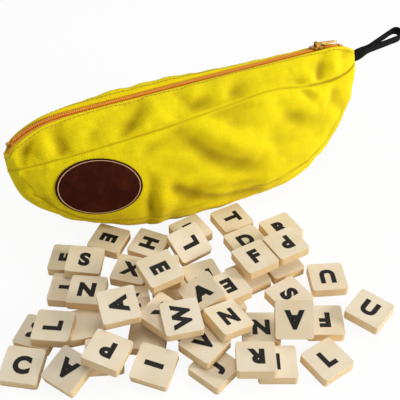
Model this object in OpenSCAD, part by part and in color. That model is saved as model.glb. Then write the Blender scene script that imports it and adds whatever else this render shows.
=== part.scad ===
// Travel case for a word tile game: a banana-shaped canvas pouch with a zip, a webbing loop
// and an oval patch, standing on a table with its heap of letter tiles in front of it.
// Row frame: X runs along the zip, Z is up, the table is Z = 0 and the case faces -Y.

/* [Case] */
// Length of the case, end seam to end seam
case_length = 230; // [210:5:260]
// Height of the zip tape above the belly, measured along the leaning case
case_height = 79.5; // [74:1:90]
// Thickness of the case through its belly
case_thickness = 50; // [44:1:56]
// Degrees that the case leans back
case_lean = 20; // [14:1:24]
// Thickness of the canvas
canvas = 1.0; // [0.8:0.1:1.2]

/* [Zip] */
// Width of the zip left showing between the two canvas edges
zip_show = 8.4; // [8:0.2:11]
// Width of each zip tape under the canvas
tape_tuck = 5; // [3:0.5:7]
// Thickness of the zip tape
tape_thick = 0.5; // [0.4:0.1:0.7]
// Distance from one tooth to the next in a chain
tooth_pitch = 1.6; // [1.4:0.1:2.4]
// Width of one chain of teeth
chain_width = 2.1; // [1.8:0.1:2.4]
// Height of the chains above the tape
chain_height = 1.3; // [1:0.1:1.6]
// Slot between the two chains, which the slider's blade runs in
chain_slot = 0.9; // [0.8:0.05:1.2]
// Length of the bent zip end at the closed end, past the straight run
closed_end = 20; // [16:1:26]
// Length of the bent zip end at the far end
far_end = 50; // [44:1:56]

/* [Slider] */
// Length of the slider along the zip
slider_length = 9; // [8:0.5:11]
// Width of the slider across the zip
slider_width = 7.6; // [7.2:0.1:8.2]
// Thickness of the slider's plates
slider_plate = 0.8; // [0.7:0.1:1]
// Length of the pull from its hinge bar to its tip
pull_length = 14; // [12:1:22]
// Width of the pull
pull_width = 4.2; // [4:0.2:6]
// Thickness of the pull
pull_thick = 0.7; // [0.6:0.1:0.9]
// Degrees that the pull dips below the zip line at rest
pull_dip = 6; // [2:1:7]

/* [Strap] */
// Width of the webbing
strap_width = 7; // [6:0.5:7.5]
// Thickness of the webbing
strap_thick = 0.9; // [0.7:0.1:1]
// Length of the loop, from its root to its tip
strap_length = 36; // [30:1:60]
// Length of the webbing that is sewn into the end seam
strap_tail_length = 8; // [6:0.5:9]
// Share of the loop in which the two layers of webbing lie together
strap_joined = 0.27; // [0.2:0.01:0.4]
// Widest opening of the loop
strap_eye = 6; // [5:0.5:10]
// Degrees that the loop points up from the zip line
strap_rise = 12; // [0:1:20]
// Degrees that the webbing twists from the seam to the tip
strap_twist = 38; // [24:2:60]

/* [Patch] */
// Length of the oval patch
patch_length = 48.5; // [40:0.5:56]
// Height of the oval patch
patch_height = 34; // [26:1:36]
// Thickness of the patch
patch_thick = 0.6; // [0.4:0.1:1]
// Distance of the patch's centre from the middle of the case, towards the far end
patch_reach = 68; // [66:0.5:72]
// Height of the patch's centre above the belly, measured along the leaning case
patch_level = 39; // [38:0.5:42]
// Degrees that the patch is turned on the case
patch_turn = 13; // [8:1:16]

/* [Tiles] */
// Side of a letter tile
tile_side = 20; // [18:0.5:21]
// Thickness of a letter tile
tile_thick = 5.5; // [4:0.5:6]
// Corner radius of a letter tile
tile_corner = 1.6; // [0.8:0.2:3]

/* [Hidden] */
// Clearance between cloth parts that lie on each other
cloth_gap = 0.15;
// Running clearance round the slider
run_gap = 0.3;
// Clearance between a tile and what it lies on
tile_gap = 0.1;
round_fn = 48;

// The letter tiles, from the bottom of the heap to its top. Each row holds the letter, the
// place on the table, the turn about the vertical, the direction that the face leans towards
// and how many degrees it leans. A tile's height follows from what it comes to lie on.
TILES = [
    ["F", -94, -12, 60, 0, 0],
    ["Y", -101, -34, -120, 0, 0],
    ["M", -125, -57, 48, 0, 0],
    ["E", -67, -7, -135, 0, 0],
    ["H", -47, -21, 42, 0, 0],
    ["X", -64, -36, -40, 0, 0],
    ["E", -20, -20.6, 8, 0, 0],
    ["T", 7, -22, -85, 0, 0],
    ["R", 30, -42, 5, 0, 0],
    ["A", 7, -45, 5, 0, 0],
    ["L", -29, -57, 87, 0, 0],
    ["U", 34, -88, 160, 0, 0],
    ["S", 8, -90, -80, 0, 0],
    ["N", -17, -104, -25, 0, 0],
    ["J", -50, -116, 25, 0, 0],
    ["F", 16, -114, 155, 0, 0],
    ["U", 39, -121, -63, 0, 0],
    ["L", 4, -136, 10, 0, 0],
    ["I", -20, -127, -25, 0, 0],
    ["", 16, -67, 2, 0, 0],
    ["", -6, -68, 3, 0, 0],
    ["", -27, -79, 0, 0, 0],
    ["", -50, -66, 90, 0, 0],
    ["", -49, -90, 5, 0, 0],
    ["", -73, -83, -30, 0, 0],
    ["", -101, -62, -10, 0, 0],
    ["", -78, -56, 80, 0, 0],
    ["", -98, -85, -20, 0, 0],
    ["N", -93, -45, -30, 0, 0],
    ["S", -87, -23, -29, 330, 4],
    ["L", -27, -34, 98, 268, 22],
    ["D", 3, -48, 5, 0, 0],
    ["F", -1, -66, 5, 0, 0],
    ["P", 20, -64, 185, 0, 0],
    ["E", -22, -75, 185, 0, 0],
    ["A", -38, -76, 5, 185, 16],
    ["Z", -74, -63, -15, 0, 0],
    ["T", -50, -48, -20, 0, 0],
    ["L", -117, -61, 60, 0, 0],
    ["A", -118, -89, 120, 200, 14],
    ["C", -138, -75, -33, 245, 8],
    ["P", -98, -92, 135, 330, 8],
    ["I", -78, -104, 47, 245, 12],
    ["V", -50, -104, 25, 0, 0],
    ["Y", -63, -81, 30, 300, 8],
    ["A", -84, -72, 82, 262, 10],
    ["R", -31, -124, 155, 65, 6],
    ["N", -34, -98, 10, 0, 14],
    ["A", -3, -113, 155, 245, 42],
    ["E", -55, -58, -85, 265, 6],
    ["W", -57, -91, 78, 250, 8],
];
// The buried tiles have no letter here, and share one node.
SEEN = [for (i = [0 : len(TILES) - 1]) if (TILES[i][0] != "") i];
function tile_name(k) = str("tile_", k < 9 ? "0" : "", k + 1, "_", TILES[SEEN[k]][0]);

canvas_yellow = "#f2d90f";
zip_orange = "#d98a16";
brass = "#b8923a";
webbing_black = "#151316";
patch_brown = "#3a1408";
thread_cream = "#d9b48c";
tile_cream = "#f3dcb0";

// The case is drawn upright, with x along the zip, y from front to back and z up from the
// belly, and then leans back about the X axis.
function lean(p) = [p.x,
                    p.y * cos(case_lean) + p.z * sin(case_lean),
                    p.z * cos(case_lean) - p.y * sin(case_lean)];
module leaning() rotate([-case_lean, 0, 0]) children();

// Sections of the case from the far end to the closed end. Each row holds the place along the
// case as a share of half its length, then the heights of the side seam and of the belly as
// shares of the case's height, the half thickness at the side seam and at the belly as shares
// of half the case's thickness, and how far the back puffs up beside the zip, as a share too.
SECTIONS = [
    [-1.000, 0.725, 0.700, 0.000, 0.000, 0.00],
    [-0.978, 0.725, 0.565, 0.120, 0.120, 0.00],
    [-0.925, 0.730, 0.455, 0.260, 0.290, 0.00],
    [-0.820, 0.740, 0.325, 0.400, 0.480, 0.03],
    [-0.650, 0.755, 0.175, 0.580, 0.720, 0.11],
    [-0.430, 0.780, 0.045, 0.730, 0.910, 0.18],
    [-0.170, 0.800, -0.008, 0.790, 1.000, 0.19],
    [ 0.130, 0.835, -0.012, 0.790, 1.000, 0.13],
    [ 0.390, 0.855, -0.006, 0.750, 0.960, 0.04],
    [ 0.620, 0.800, 0.085, 0.640, 0.800, 0.00],
    [ 0.800, 0.775, 0.275, 0.440, 0.560, 0.00],
    [ 0.915, 0.780, 0.490, 0.250, 0.310, 0.00],
    [ 0.975, 0.810, 0.665, 0.110, 0.120, 0.00],
    [ 1.000, 0.845, 0.785, 0.000, 0.000, 0.00]];
SPAN_STEPS = 3;

// A smooth curve through the rows, read at t counted in rows.
function blend4(a, b, c, d, f) =
    0.5 * (2 * b + (c - a) * f + (2 * a - 5 * b + 4 * c - d) * f * f
           + (3 * b - 3 * c + d - a) * f * f * f);
function row_at(i) = SECTIONS[min(max(i, 0), len(SECTIONS) - 1)];
function section(t) =
    let (i = min(floor(t), len(SECTIONS) - 2))
    blend4(row_at(i - 1), row_at(i), row_at(i + 1), row_at(i + 2), t - i);

// Height of the zip tape's top face: straight, and bent down at both ends.
run_left = far_end - case_length / 2;
run_right = case_length / 2 - closed_end;
far_drop = 14;
closed_drop = 7;
function zip_height(x) =
    case_height
    - far_drop * pow(max(0, run_left - x) / far_end, 3.2)
    - closed_drop * pow(max(0, x - run_right) / closed_end, 2);
function zip_slope(x) = atan2(zip_height(x + 0.5) - zip_height(x - 0.5), 1);

// Half thickness of the case. The end seam at the far end presses two layers of canvas
// together, and the one at the closed end holds the doubled webbing between them.
half_belly = case_thickness / 2;
function end_half(x) = canvas + cloth_gap / 2 + strap_thick * (0.5 + x / case_length);
function half_at(share, x) =
    end_half(x) + max(share, 0) * (half_belly - end_half(x));

// Half of the zip that shows at a section, which closes up towards the end seams, and how far
// the canvas stands on edge there.
function zip_half(half, x) = min(zip_show / 2, 0.1 + 0.55 * (half - end_half(x)));
function on_edge(share) = max(0, 1 - share / 0.08);
function mix(a, b, f) = a + (b - a) * f;

// Control points of one side's section, as [across, height], moved inwards by inset. The upper
// panel runs from the zip to the side seam and the lower one on to the seam under the belly.
belly_seam = 2;
function upper_curve(t, back, inset) =
    let (r = section(t),
         x = r[0] * case_length / 2,
         seam = [half_at(r[3], x), r[1] * case_height],
         up = on_edge(r[3]),
         top = zip_height(x) + cloth_gap + canvas,
         edge = [mix(zip_half(seam.x, x), seam.x - inset, up), top - inset * (1 - up)],
         puff = back ? r[5] * half_belly : 0)
    [edge,
     edge + [0.42 * (seam.x - edge.x) * (1 - up), puff],
     seam + [-0.14 * (seam.x - edge.x) * (1 - up) + 0.25 * puff - mix(0.85, 1, up) * inset,
             0.52 * (top - seam.y) - 0.55 * inset * (1 - up)],
     seam - [inset, 0]];
function lower_curve(t, back, inset) =
    let (r = section(t),
         x = r[0] * case_length / 2,
         seam = [half_at(r[3], x), r[1] * case_height],
         belly = half_at(r[4], x),
         up = on_edge(r[3]),
         low = r[2] * case_height,
         meet = belly_seam * min(1, belly / 12) * (back ? -1 : 1),
         fall = seam.y - low)
    [seam - [inset, 0],
     [belly * mix(back ? 1.16 : 1.10, 1, up) - inset, seam.y - 0.42 * fall],
     [belly * mix(back ? 1.02 : 0.86, 1, up) - mix(0.7, 1, up) * inset,
      low + 0.7 * inset * (1 - up) - (back ? 0.03 * fall : 0)],
     [mix(meet, belly - inset, up), low + inset * (1 - up)]];
function bezier(c, q) =
    pow(1 - q, 3) * c[0] + 3 * q * pow(1 - q, 2) * c[1] + 3 * q * q * (1 - q) * c[2]
    + pow(q, 3) * c[3];

// A point of the canvas in the row frame. The belly is flattened where it lies on the table.
function canvas_point(t, q, back, lower, inset) =
    let (c = lower ? lower_curve(t, back, inset) : upper_curve(t, back, inset),
         p = bezier(c, q),
         w = lean([section(t)[0] * case_length / 2, (back ? 1 : -1) * p.x, p.y]))
    [w.x, w.y, max(w.z, inset)];

// A point on the flat faces that the upper panel's curve is drawn with.
upper_across = 5;
lower_across = 9;
function chord(c, q) =
    let (i = min(floor(q * upper_across), upper_across - 1), f = q * upper_across - i)
    bezier(c, i / upper_across) * (1 - f) + bezier(c, (i + 1) / upper_across) * f;

last_row = len(SECTIONS) - 1;
LENGTHWISE = [for (i = [0 : last_row * SPAN_STEPS]) i / SPAN_STEPS];
function canvas_grid(back, lower, inset, across) =
    [for (t = LENGTHWISE) [for (k = [0 : across]) canvas_point(t, k / across, back, lower, inset)]];

// A sheet with thickness, from the grids of its outer and inner faces. A closed one joins its
// last row to its first.
module sheet_solid(outer, inner, closed = false, flip = false) {
    m = len(outer);
    n = len(outer[0]);
    rows = closed ? m : m - 1;
    points = concat([for (r = outer) each r], [for (r = inner) each r]);
    function at(layer, i, k) = layer * m * n + (i % m) * n + k;
    faces = concat(
        [for (i = [0 : rows - 1], k = [0 : n - 2])
            each [[at(0, i, k), at(0, i + 1, k), at(0, i + 1, k + 1)],
                  [at(0, i, k), at(0, i + 1, k + 1), at(0, i, k + 1)],
                  [at(1, i, k), at(1, i + 1, k + 1), at(1, i + 1, k)],
                  [at(1, i, k), at(1, i, k + 1), at(1, i + 1, k + 1)]]],
        [for (i = [0 : rows - 1])
            each [[at(0, i, 0), at(1, i, 0), at(1, i + 1, 0)],
                  [at(0, i, 0), at(1, i + 1, 0), at(0, i + 1, 0)],
                  [at(0, i, n - 1), at(1, i + 1, n - 1), at(1, i, n - 1)],
                  [at(0, i, n - 1), at(0, i + 1, n - 1), at(1, i + 1, n - 1)]]],
        closed ? [] : [for (k = [0 : n - 2])
            each [[at(0, 0, k), at(0, 0, k + 1), at(1, 0, k + 1)],
                  [at(0, 0, k), at(1, 0, k + 1), at(1, 0, k)],
                  [at(0, m - 1, k), at(1, m - 1, k + 1), at(0, m - 1, k + 1)],
                  [at(0, m - 1, k), at(1, m - 1, k), at(1, m - 1, k + 1)]]]);
    polyhedron(points, flip ? [for (f = faces) [f[0], f[2], f[1]]] : faces);
}

module panel(back, lower) {
    across = lower ? lower_across : upper_across;
    color(canvas_yellow)
        sheet_solid(canvas_grid(back, lower, 0, across),
                    canvas_grid(back, lower, canvas, across), flip = back);
}

// The oval patch follows the front lower panel. A place on it is given along the case and up
// it, and the section and the point on its curve there are found by halving.
function row_of(x, low = 0, high = last_row, n = 14) =
    let (m = (low + high) / 2)
    n == 0 ? m
    : section(m)[0] * case_length / 2 < x ? row_of(x, m, high, n - 1) : row_of(x, low, m, n - 1);
function share_of(c, z, low = 0, high = 1, n = 12) =
    let (m = (low + high) / 2)
    n == 0 ? m : bezier(c, m).y > z ? share_of(c, z, m, high, n - 1) : share_of(c, z, low, m, n - 1);
function front_point(x, z, out) =
    let (t = row_of(x))
    canvas_point(t, share_of(lower_curve(t, false, -out), z), false, true, -out);
function patch_point(a, b, out) =
    let (u = a * patch_length / 2, v = b * patch_height / 2)
    front_point(u * cos(patch_turn) + v * sin(patch_turn) - patch_reach,
                v * cos(patch_turn) - u * sin(patch_turn) + patch_level, out);

patch_seat = 0.3;
patch_columns = 22;
patch_rows = 8;
patch_tip = 0.9985;
function patch_grid(out) =
    [for (i = [0 : patch_columns])
        let (a = -patch_tip * cos(180 * i / patch_columns), h = sqrt(1 - a * a))
        [for (k = [0 : patch_rows]) patch_point(a, h * (1 - 2 * k / patch_rows), out)]];
module patch() {
    color(patch_brown)
        sheet_solid(patch_grid(patch_seat + patch_thick), patch_grid(patch_seat));
}

// The thread ring lies just inside the patch's edge.
ring_places = [0.90, 0.94];
ring_seat = 0.12;
ring_thick = 0.25;
ring_steps = 56;
function ring_grid(out) =
    [for (i = [0 : ring_steps - 1])
        [for (r = ring_places)
            patch_point(-r * cos(360 * i / ring_steps), r * sin(360 * i / ring_steps), out)]];
module patch_ring() {
    base = patch_seat + patch_thick + ring_seat;
    color(thread_cream)
        sheet_solid(ring_grid(base + ring_thick), ring_grid(base), closed = true, flip = true);
}

// Each zip tape lies flat beside the slot and tucks in under the canvas edge.
tape_first = 1;
tape_last = (last_row - 1) * SPAN_STEPS;
TAPE_TUCKS = [0, 0.5, 1];
function tape_point(t, k, back, depth) =
    let (x = section(t)[0] * case_length / 2,
         c = upper_curve(t, back, canvas + cloth_gap * (1 + max(k, 0)) + depth),
         reach = norm(c[3] - c[0]),
         p = k < 0 ? [chain_slot / 2, zip_height(x) - depth]
             : chord(c, min(0.3, k * tape_tuck / max(reach, 1) / 1.2)))
    lean([x, (back ? 1 : -1) * p.x, p.y]);
function tape_grid(back, depth) =
    [for (i = [tape_first : tape_last])
        [for (k = concat([-1], TAPE_TUCKS)) tape_point(LENGTHWISE[i], k, back, depth)]];
module zip_tape(back) {
    color(zip_orange)
        sheet_solid(tape_grid(back, 0), tape_grid(back, tape_thick), flip = back);
}

// The teeth of a chain stand in a row on the tape, bent with it at both ends.
chain_seat = 0.05;
chain_left = 8 - case_length / 2;
chain_right = case_length / 2 - 10;
tooth_count = floor((chain_right - chain_left) / tooth_pitch);
tooth_gap = 0.4;
function tooth(i) =
    let (a = chain_left + i * tooth_pitch, b = a + tooth_pitch * (1 - tooth_gap),
         low = chain_height * 0.6)
    [[a, zip_height(a) + low], [a, zip_height(a) + chain_height],
     [b, zip_height(b) + chain_height], [b, zip_height(b) + low]];
module zip_chain(back) {
    top = [for (i = [0 : tooth_count - 1]) each tooth(i)];
    bottom = [for (i = [tooth_count - 1 : -1 : 0])
        for (x = [chain_left + (i + 1 - tooth_gap) * tooth_pitch, chain_left + i * tooth_pitch])
            [x, zip_height(x) + chain_seat]];
    color(zip_orange) leaning()
        translate([0, (back ? 1 : 0) * (chain_slot + chain_width) - chain_slot / 2, 0])
            rotate([90, 0, 0]) linear_extrude(chain_width) polygon(concat(top, bottom));
}

// Metal stops clamp the ends of the chains.
stop_length = 2.2;
stop_height = 1.9;
stop_gap = 0.1;
module zip_stop(x, width) {
    translate([x, 0, zip_height(x) + stop_gap]) rotate([0, -zip_slope(x), 0])
        translate([0, width / 2, 0]) rotate([90, 0, 0]) linear_extrude(width)
            polygon([[-stop_length / 2, 0], [stop_length / 2, 0],
                     [stop_length / 2, stop_height * 0.7], [stop_length / 2 - 0.5, stop_height],
                     [0.5 - stop_length / 2, stop_height],
                     [-stop_length / 2, stop_height * 0.7]]);
}
chain_end = chain_left + (tooth_count - tooth_gap) * tooth_pitch;
module zip_top_stops() {
    color(brass) leaning()
        for (side = [-1, 1])
            translate([0, side * (chain_slot + chain_width) / 2, 0])
                zip_stop(chain_end + stop_length / 2 + 0.4, chain_width + 0.4);
}
module zip_bottom_stop() {
    color(brass) leaning()
        zip_stop(chain_left - stop_length / 2 - 0.6, chain_slot + 2 * chain_width - 1);
}

// The slider's plates run above and below the chains, joined by a blade in the slot.
slider_at = run_right - slider_length / 2 - 1;
top_plate_low = chain_height + run_gap;
bottom_plate_high = -tape_thick - run_gap;
blade_thick = chain_slot - 0.4;
blade_length = 4.5;
flange_thick = 0.7;
flange_low = 0.45;
pin_radius = 0.5;
pin_above = 1.5;
knuckle_radius = 1.15;
knuckle_length = 2;
ear_thick = 0.8;
ear_length = 2.4;
pin_height = top_plate_low + slider_plate + pin_above;
module at_slider() {
    leaning() translate([slider_at, 0, case_height]) children();
}
module slider_outline(width) {
    polygon([for (s = [1, -1], p = s > 0
                 ? [[-0.5, 0.34], [-0.34, 0.46], [0.20, 0.5], [0.5, 0.36]]
                 : [[0.5, -0.36], [0.20, -0.5], [-0.34, -0.46], [-0.5, -0.34]])
                 [p.x * slider_length, p.y * width]]);
}
module zip_slider() {
    ear_at = knuckle_length / 2 + 0.15 + ear_thick / 2;
    color(brass) at_slider() {
        translate([0, 0, top_plate_low]) linear_extrude(slider_plate)
            slider_outline(slider_width);
        translate([0, 0, bottom_plate_high - slider_plate]) linear_extrude(slider_plate)
            slider_outline(slider_width - 0.6);
        translate([-blade_length / 2, -blade_thick / 2, bottom_plate_high - slider_plate / 2])
            cube([blade_length, blade_thick,
                  top_plate_low - bottom_plate_high + slider_plate]);
        for (side = [-1, 1])
            translate([-slider_length * 0.3,
                       side * (slider_width * 0.46 - flange_thick / 2) - flange_thick / 2,
                       flange_low])
                cube([slider_length * 0.5, flange_thick,
                      top_plate_low - flange_low + slider_plate / 2]);
        for (side = [-1, 1])
            translate([0, side * ear_at + ear_thick / 2, top_plate_low + slider_plate])
                rotate([90, 0, 0]) linear_extrude(ear_thick) ear_outline();
        translate([0, ear_at, pin_height]) rotate([90, 0, 0])
            cylinder(h = 2 * ear_at, r = pin_radius, $fn = round_fn);
    }
}
module ear_outline() {
    translate([-ear_length / 2, -slider_plate / 2])
        square([ear_length, pin_above + slider_plate / 2]);
    translate([0, pin_above]) circle(d = ear_length, $fn = round_fn);
}

// The pull swings on the pin between the ears.
pin_clearance = 0.2;
neck_length = 2.4;
module zip_pull() {
    color(brass) at_slider() translate([0, 0, pin_height]) rotate([0, pull_dip, 0])
        difference() {
            union() {
                translate([0, knuckle_length / 2, 0]) rotate([90, 0, 0])
                    cylinder(h = knuckle_length, r = knuckle_radius, $fn = round_fn);
                translate([0, -knuckle_length / 2, -pull_thick / 2])
                    cube([neck_length, knuckle_length, pull_thick]);
                translate([0, 0, -pull_thick / 2]) linear_extrude(pull_thick) pull_outline();
            }
            translate([0, knuckle_length, 0]) rotate([90, 0, 0])
                cylinder(h = 2 * knuckle_length, r = pin_radius + pin_clearance, $fn = round_fn);
        }
}
module pull_outline() {
    difference() {
        union() {
            translate([neck_length, -pull_width / 2])
                square([pull_length - neck_length - pull_width / 2, pull_width]);
            translate([pull_length - pull_width / 2, 0]) circle(d = pull_width, $fn = round_fn);
        }
        translate([pull_length - pull_width / 2, 0]) circle(d = pull_width * 0.4, $fn = round_fn);
    }
}

// The webbing: a doubled tail in the end seam, and the loop that swings at it.
strap_height = 69.5;
tail_half = strap_thick + cloth_gap / 6;
root_out = strap_thick + run_gap + strap_width / 2 * sin(strap_rise);
leg_gap = 0.3;
root_half = strap_thick / 2 + leg_gap;
eye_radius = (strap_eye + strap_thick) / 2;
eye_at = strap_length - eye_radius - strap_thick / 2;
module strap_tail() {
    color(webbing_black) leaning()
        for (side = [-1, 1])
            translate([case_length / 2 - strap_tail_length,
                       side * (strap_thick / 2 + cloth_gap / 6) - strap_thick / 2,
                       strap_height - strap_width / 2])
                cube([strap_tail_length, strap_thick, strap_width]);
}

// Centre line of one leg, as [along, out, slope]: together with the other, then straight to
// the round tip, which it meets in a tangent.
leg_joined = strap_joined * strap_length;
leg_slope = asin(eye_radius / norm([eye_at - leg_joined, root_half]))
            - atan2(root_half, eye_at - leg_joined);
leg_end = [eye_at - eye_radius * sin(leg_slope), eye_radius * cos(leg_slope)];
tip_steps = 7;
leg_steps = 5;
joined_steps = 10;
LEG = concat(
    [for (i = [0 : joined_steps])
        [leg_joined * i / joined_steps, root_half, i < joined_steps ? 0 : leg_slope / 2]],
    [for (i = [1 : leg_steps])
        let (p = [leg_joined, root_half] * (1 - i / leg_steps) + leg_end * i / leg_steps)
        [p.x, p.y, leg_slope]],
    [for (i = [1 : tip_steps])
        let (a = (90 + leg_slope) * (1 - i / tip_steps))
        [eye_at + eye_radius * cos(a), eye_radius * sin(a), a - 90]]);
LOOP = concat(
    [for (p = LEG) [p.x, p.y, p[2]]],
    [for (i = [len(LEG) - 2 : -1 : 0]) [LEG[i].x, -LEG[i].y, -180 - LEG[i][2]]]);
twist_share = 0.3;
function twist_at(along) =
    let (f = min(1, max(0, along) / (twist_share * strap_length)))
    strap_twist * f * f * (3 - 2 * f);
function strap_place(along, out, across) =
    let (axis = [cos(strap_rise), 0, sin(strap_rise)],
         up = [-sin(strap_rise), 0, cos(strap_rise)],
         front = [0, -1, 0],
         a = twist_at(along),
         w = up * cos(a) + front * sin(a),
         n = front * cos(a) - up * sin(a))
    lean([case_length / 2 + root_out, 0, strap_height] + axis * along + n * out + w * across);
// At the root, the inner corners reach back so that the end is blunt and can swing.
function strap_section(i, side) =
    let (p = LOOP[i],
         h = strap_thick / 2,
         first = i == 0 || i == len(LOOP) - 1,
         back = first ? 0.95 * strap_thick : 0,
         away = [-sin(p[2]), cos(p[2])] * h)
    [for (across = [1, -1])
        side > 0 ? strap_place(p.x + away.x - (i > 0 ? back : 0), p.y + away.y,
                               across * strap_width / 2)
                 : strap_place(p.x - away.x - (i == 0 ? back : 0), p.y - away.y,
                               across * strap_width / 2)];
module strap_loop() {
    color(webbing_black)
        sheet_solid([for (i = [0 : len(LOOP) - 1]) strap_section(i, 1)],
                    [for (i = [0 : len(LOOP) - 1]) strap_section(i, -1)]);
}

// A tile as a box: its centre, its three axes and its half sizes.
tile_half = [tile_side / 2, tile_side / 2, tile_thick / 2];
function turned(v, k, a) = v * cos(a) + cross(k, v) * sin(a) + k * (k * v) * (1 - cos(a));
function tile_axes(r) =
    let (k = [-sin(r[4]), cos(r[4]), 0])
    [turned([cos(r[3]), sin(r[3]), 0], k, r[5]),
     turned([-sin(r[3]), cos(r[3]), 0], k, r[5]),
     turned([0, 0, 1], k, r[5])];
function box_corner(b, i, j, k) =
    b[0] + i * b[1][0] * tile_half.x + j * b[1][1] * tile_half.y + k * b[1][2] * tile_half.z;
TURN = [[-1, -1], [1, -1], [1, 1], [-1, 1]];
function box_face(b, k) = [for (c = TURN) box_corner(b, c[0], c[1], k)];
function box_edges(b, k) =
    let (f = box_face(b, k), g = box_face(b, -k))
    concat([for (i = [0 : 3]) [f[i], f[(i + 1) % 4]]], [for (i = [0 : 3]) [f[i], g[i]]]);

// The stretch of the vertical line through p that lies in a box, as [from, to].
function slab(b, i, p) =
    let (e = b[1][i], h = tile_half[i], base = [p.x - b[0].x, p.y - b[0].y, -b[0].z] * e)
    abs(e.z) < 0.0001 ? (abs(base) <= h ? [-1000, 1000] : [1000, -1000])
    : let (u = (-h - base) / e.z, v = (h - base) / e.z) [min(u, v), max(u, v)];
function stretch(b, p) =
    let (s = [slab(b, 0, p), slab(b, 1, p), slab(b, 2, p)])
    [max(s[0][0], s[1][0], s[2][0]), min(s[0][1], s[1][1], s[2][1])];

// How far box a has to rise so that it clears box b, by corners over faces and by the places
// where an edge of one passes over an edge of the other.
never = -1000;
function over_corners(a, b) =
    max([for (p = box_face(a, -1)) let (s = stretch(b, p)) s[0] < s[1] ? s[1] - p.z : never]);
function under_corners(a, b) =
    max([for (p = box_face(b, 1)) let (s = stretch(a, p)) s[0] < s[1] ? p.z - s[0] : never]);
function edge_rise(e, f) =
    let (d = e[1] - e[0], g = f[1] - f[0], o = f[0] - e[0],
         w = d.x * g.y - d.y * g.x)
    abs(w) < 0.0001 ? never
    : let (u = (o.x * g.y - o.y * g.x) / w, v = (o.x * d.y - o.y * d.x) / w)
      u < 0 || u > 1 || v < 0 || v > 1 ? never
      : f[0].z + v * g.z - e[0].z - u * d.z;
function rise_over(a, b) =
    max(over_corners(a, b), under_corners(a, b),
        max([for (e = box_edges(a, -1), f = box_edges(b, 1)) edge_rise(e, f)]));

// Each tile in turn comes to lie on the table or on those that are already there.
tile_reach = norm([tile_side, tile_side]) + tile_thick;
function settle(i, done) =
    i == len(TILES) ? done
    : let (r = TILES[i],
           a = [[r[1], r[2], 0], tile_axes(r)],
           table = -min([for (p = box_face(a, -1)) p.z]),
           near = [for (b = done) if (norm([b[0].x - r[1], b[0].y - r[2]]) < tile_reach) b],
           rise = max(table, max(concat([never], [for (b = near) rise_over(a, b)])) + tile_gap))
      settle(i + 1, concat(done, [[[r[1], r[2], rise], a[1]]]));
HEAP = settle(0, []);

corner_steps = 4;
function tile_outline() =
    [for (q = [0 : 3], i = [0 : corner_steps])
        let (a = 90 * q + 90 * i / corner_steps, c = tile_side / 2 - tile_corner)
        [c * sign(cos(90 * q + 45)) + tile_corner * cos(a),
         c * sign(sin(90 * q + 45)) + tile_corner * sin(a)]];
module tile(i) {
    r = TILES[i];
    color(tile_cream)
        translate(HEAP[i][0]) rotate(r[5], [-sin(r[4]), cos(r[4]), 0]) rotate([0, 0, r[3]])
            translate([0, 0, -tile_thick / 2])
                linear_extrude(tile_thick) polygon(tile_outline());
}
module tiles_underneath() {
    for (i = [0 : len(TILES) - 1]) if (TILES[i][0] == "") tile(i);
}

panel(false, false);  // front_upper_panel
panel(false, true);  // front_lower_panel
panel(true, false);  // back_upper_panel
panel(true, true);  // back_lower_panel
patch();
patch_ring();
zip_tape(false);  // zip_tape_front
zip_tape(true);  // zip_tape_back
zip_chain(false);  // zip_chain_front
zip_chain(true);  // zip_chain_back
zip_top_stops();
zip_bottom_stop();
zip_slider();
zip_pull();
strap_tail();
strap_loop();
tiles_underneath();
for (k = [0 : len(SEEN) - 1])
    tile(SEEN[k]);
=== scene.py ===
"""A travel case for a word tile game: a banana-shaped canvas pouch with a zip, a webbing loop and
an oval patch, and the letter tiles that it holds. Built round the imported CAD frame, in metres."""

import math

import bmesh
import bpy
import numpy as np
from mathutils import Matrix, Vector, noise


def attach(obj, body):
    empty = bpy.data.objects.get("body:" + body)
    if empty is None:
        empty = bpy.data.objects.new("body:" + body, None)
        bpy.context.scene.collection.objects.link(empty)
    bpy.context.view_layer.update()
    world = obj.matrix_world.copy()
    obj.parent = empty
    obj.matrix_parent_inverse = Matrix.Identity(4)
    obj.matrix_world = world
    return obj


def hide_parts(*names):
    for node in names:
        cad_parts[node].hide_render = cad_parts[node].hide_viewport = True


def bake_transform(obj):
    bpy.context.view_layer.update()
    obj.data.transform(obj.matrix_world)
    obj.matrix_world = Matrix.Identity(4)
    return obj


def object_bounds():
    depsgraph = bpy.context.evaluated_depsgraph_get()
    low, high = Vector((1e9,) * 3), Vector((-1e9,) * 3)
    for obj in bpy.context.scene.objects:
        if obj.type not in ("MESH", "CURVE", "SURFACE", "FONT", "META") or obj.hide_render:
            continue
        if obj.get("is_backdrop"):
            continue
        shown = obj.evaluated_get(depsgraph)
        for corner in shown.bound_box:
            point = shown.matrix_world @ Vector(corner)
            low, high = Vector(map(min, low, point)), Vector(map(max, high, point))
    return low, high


bl_info = {
    "name": "Travel tile game case",
    "version": (1, 0, 0),
    "blender": (4, 5, 0),
    "location": "3D View > Sidebar > Tile case",
    "description": "Dresses the packed travel case and its tiles in cloth, metal and plastic",
    "category": "Object",
}

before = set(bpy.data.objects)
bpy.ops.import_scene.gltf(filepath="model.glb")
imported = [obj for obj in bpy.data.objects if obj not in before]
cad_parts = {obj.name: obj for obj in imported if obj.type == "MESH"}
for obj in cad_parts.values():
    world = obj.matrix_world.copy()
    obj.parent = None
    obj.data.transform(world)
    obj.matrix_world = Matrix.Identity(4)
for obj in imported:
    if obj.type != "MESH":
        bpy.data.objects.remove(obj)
CAD_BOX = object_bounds()

MM = 0.001

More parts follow.
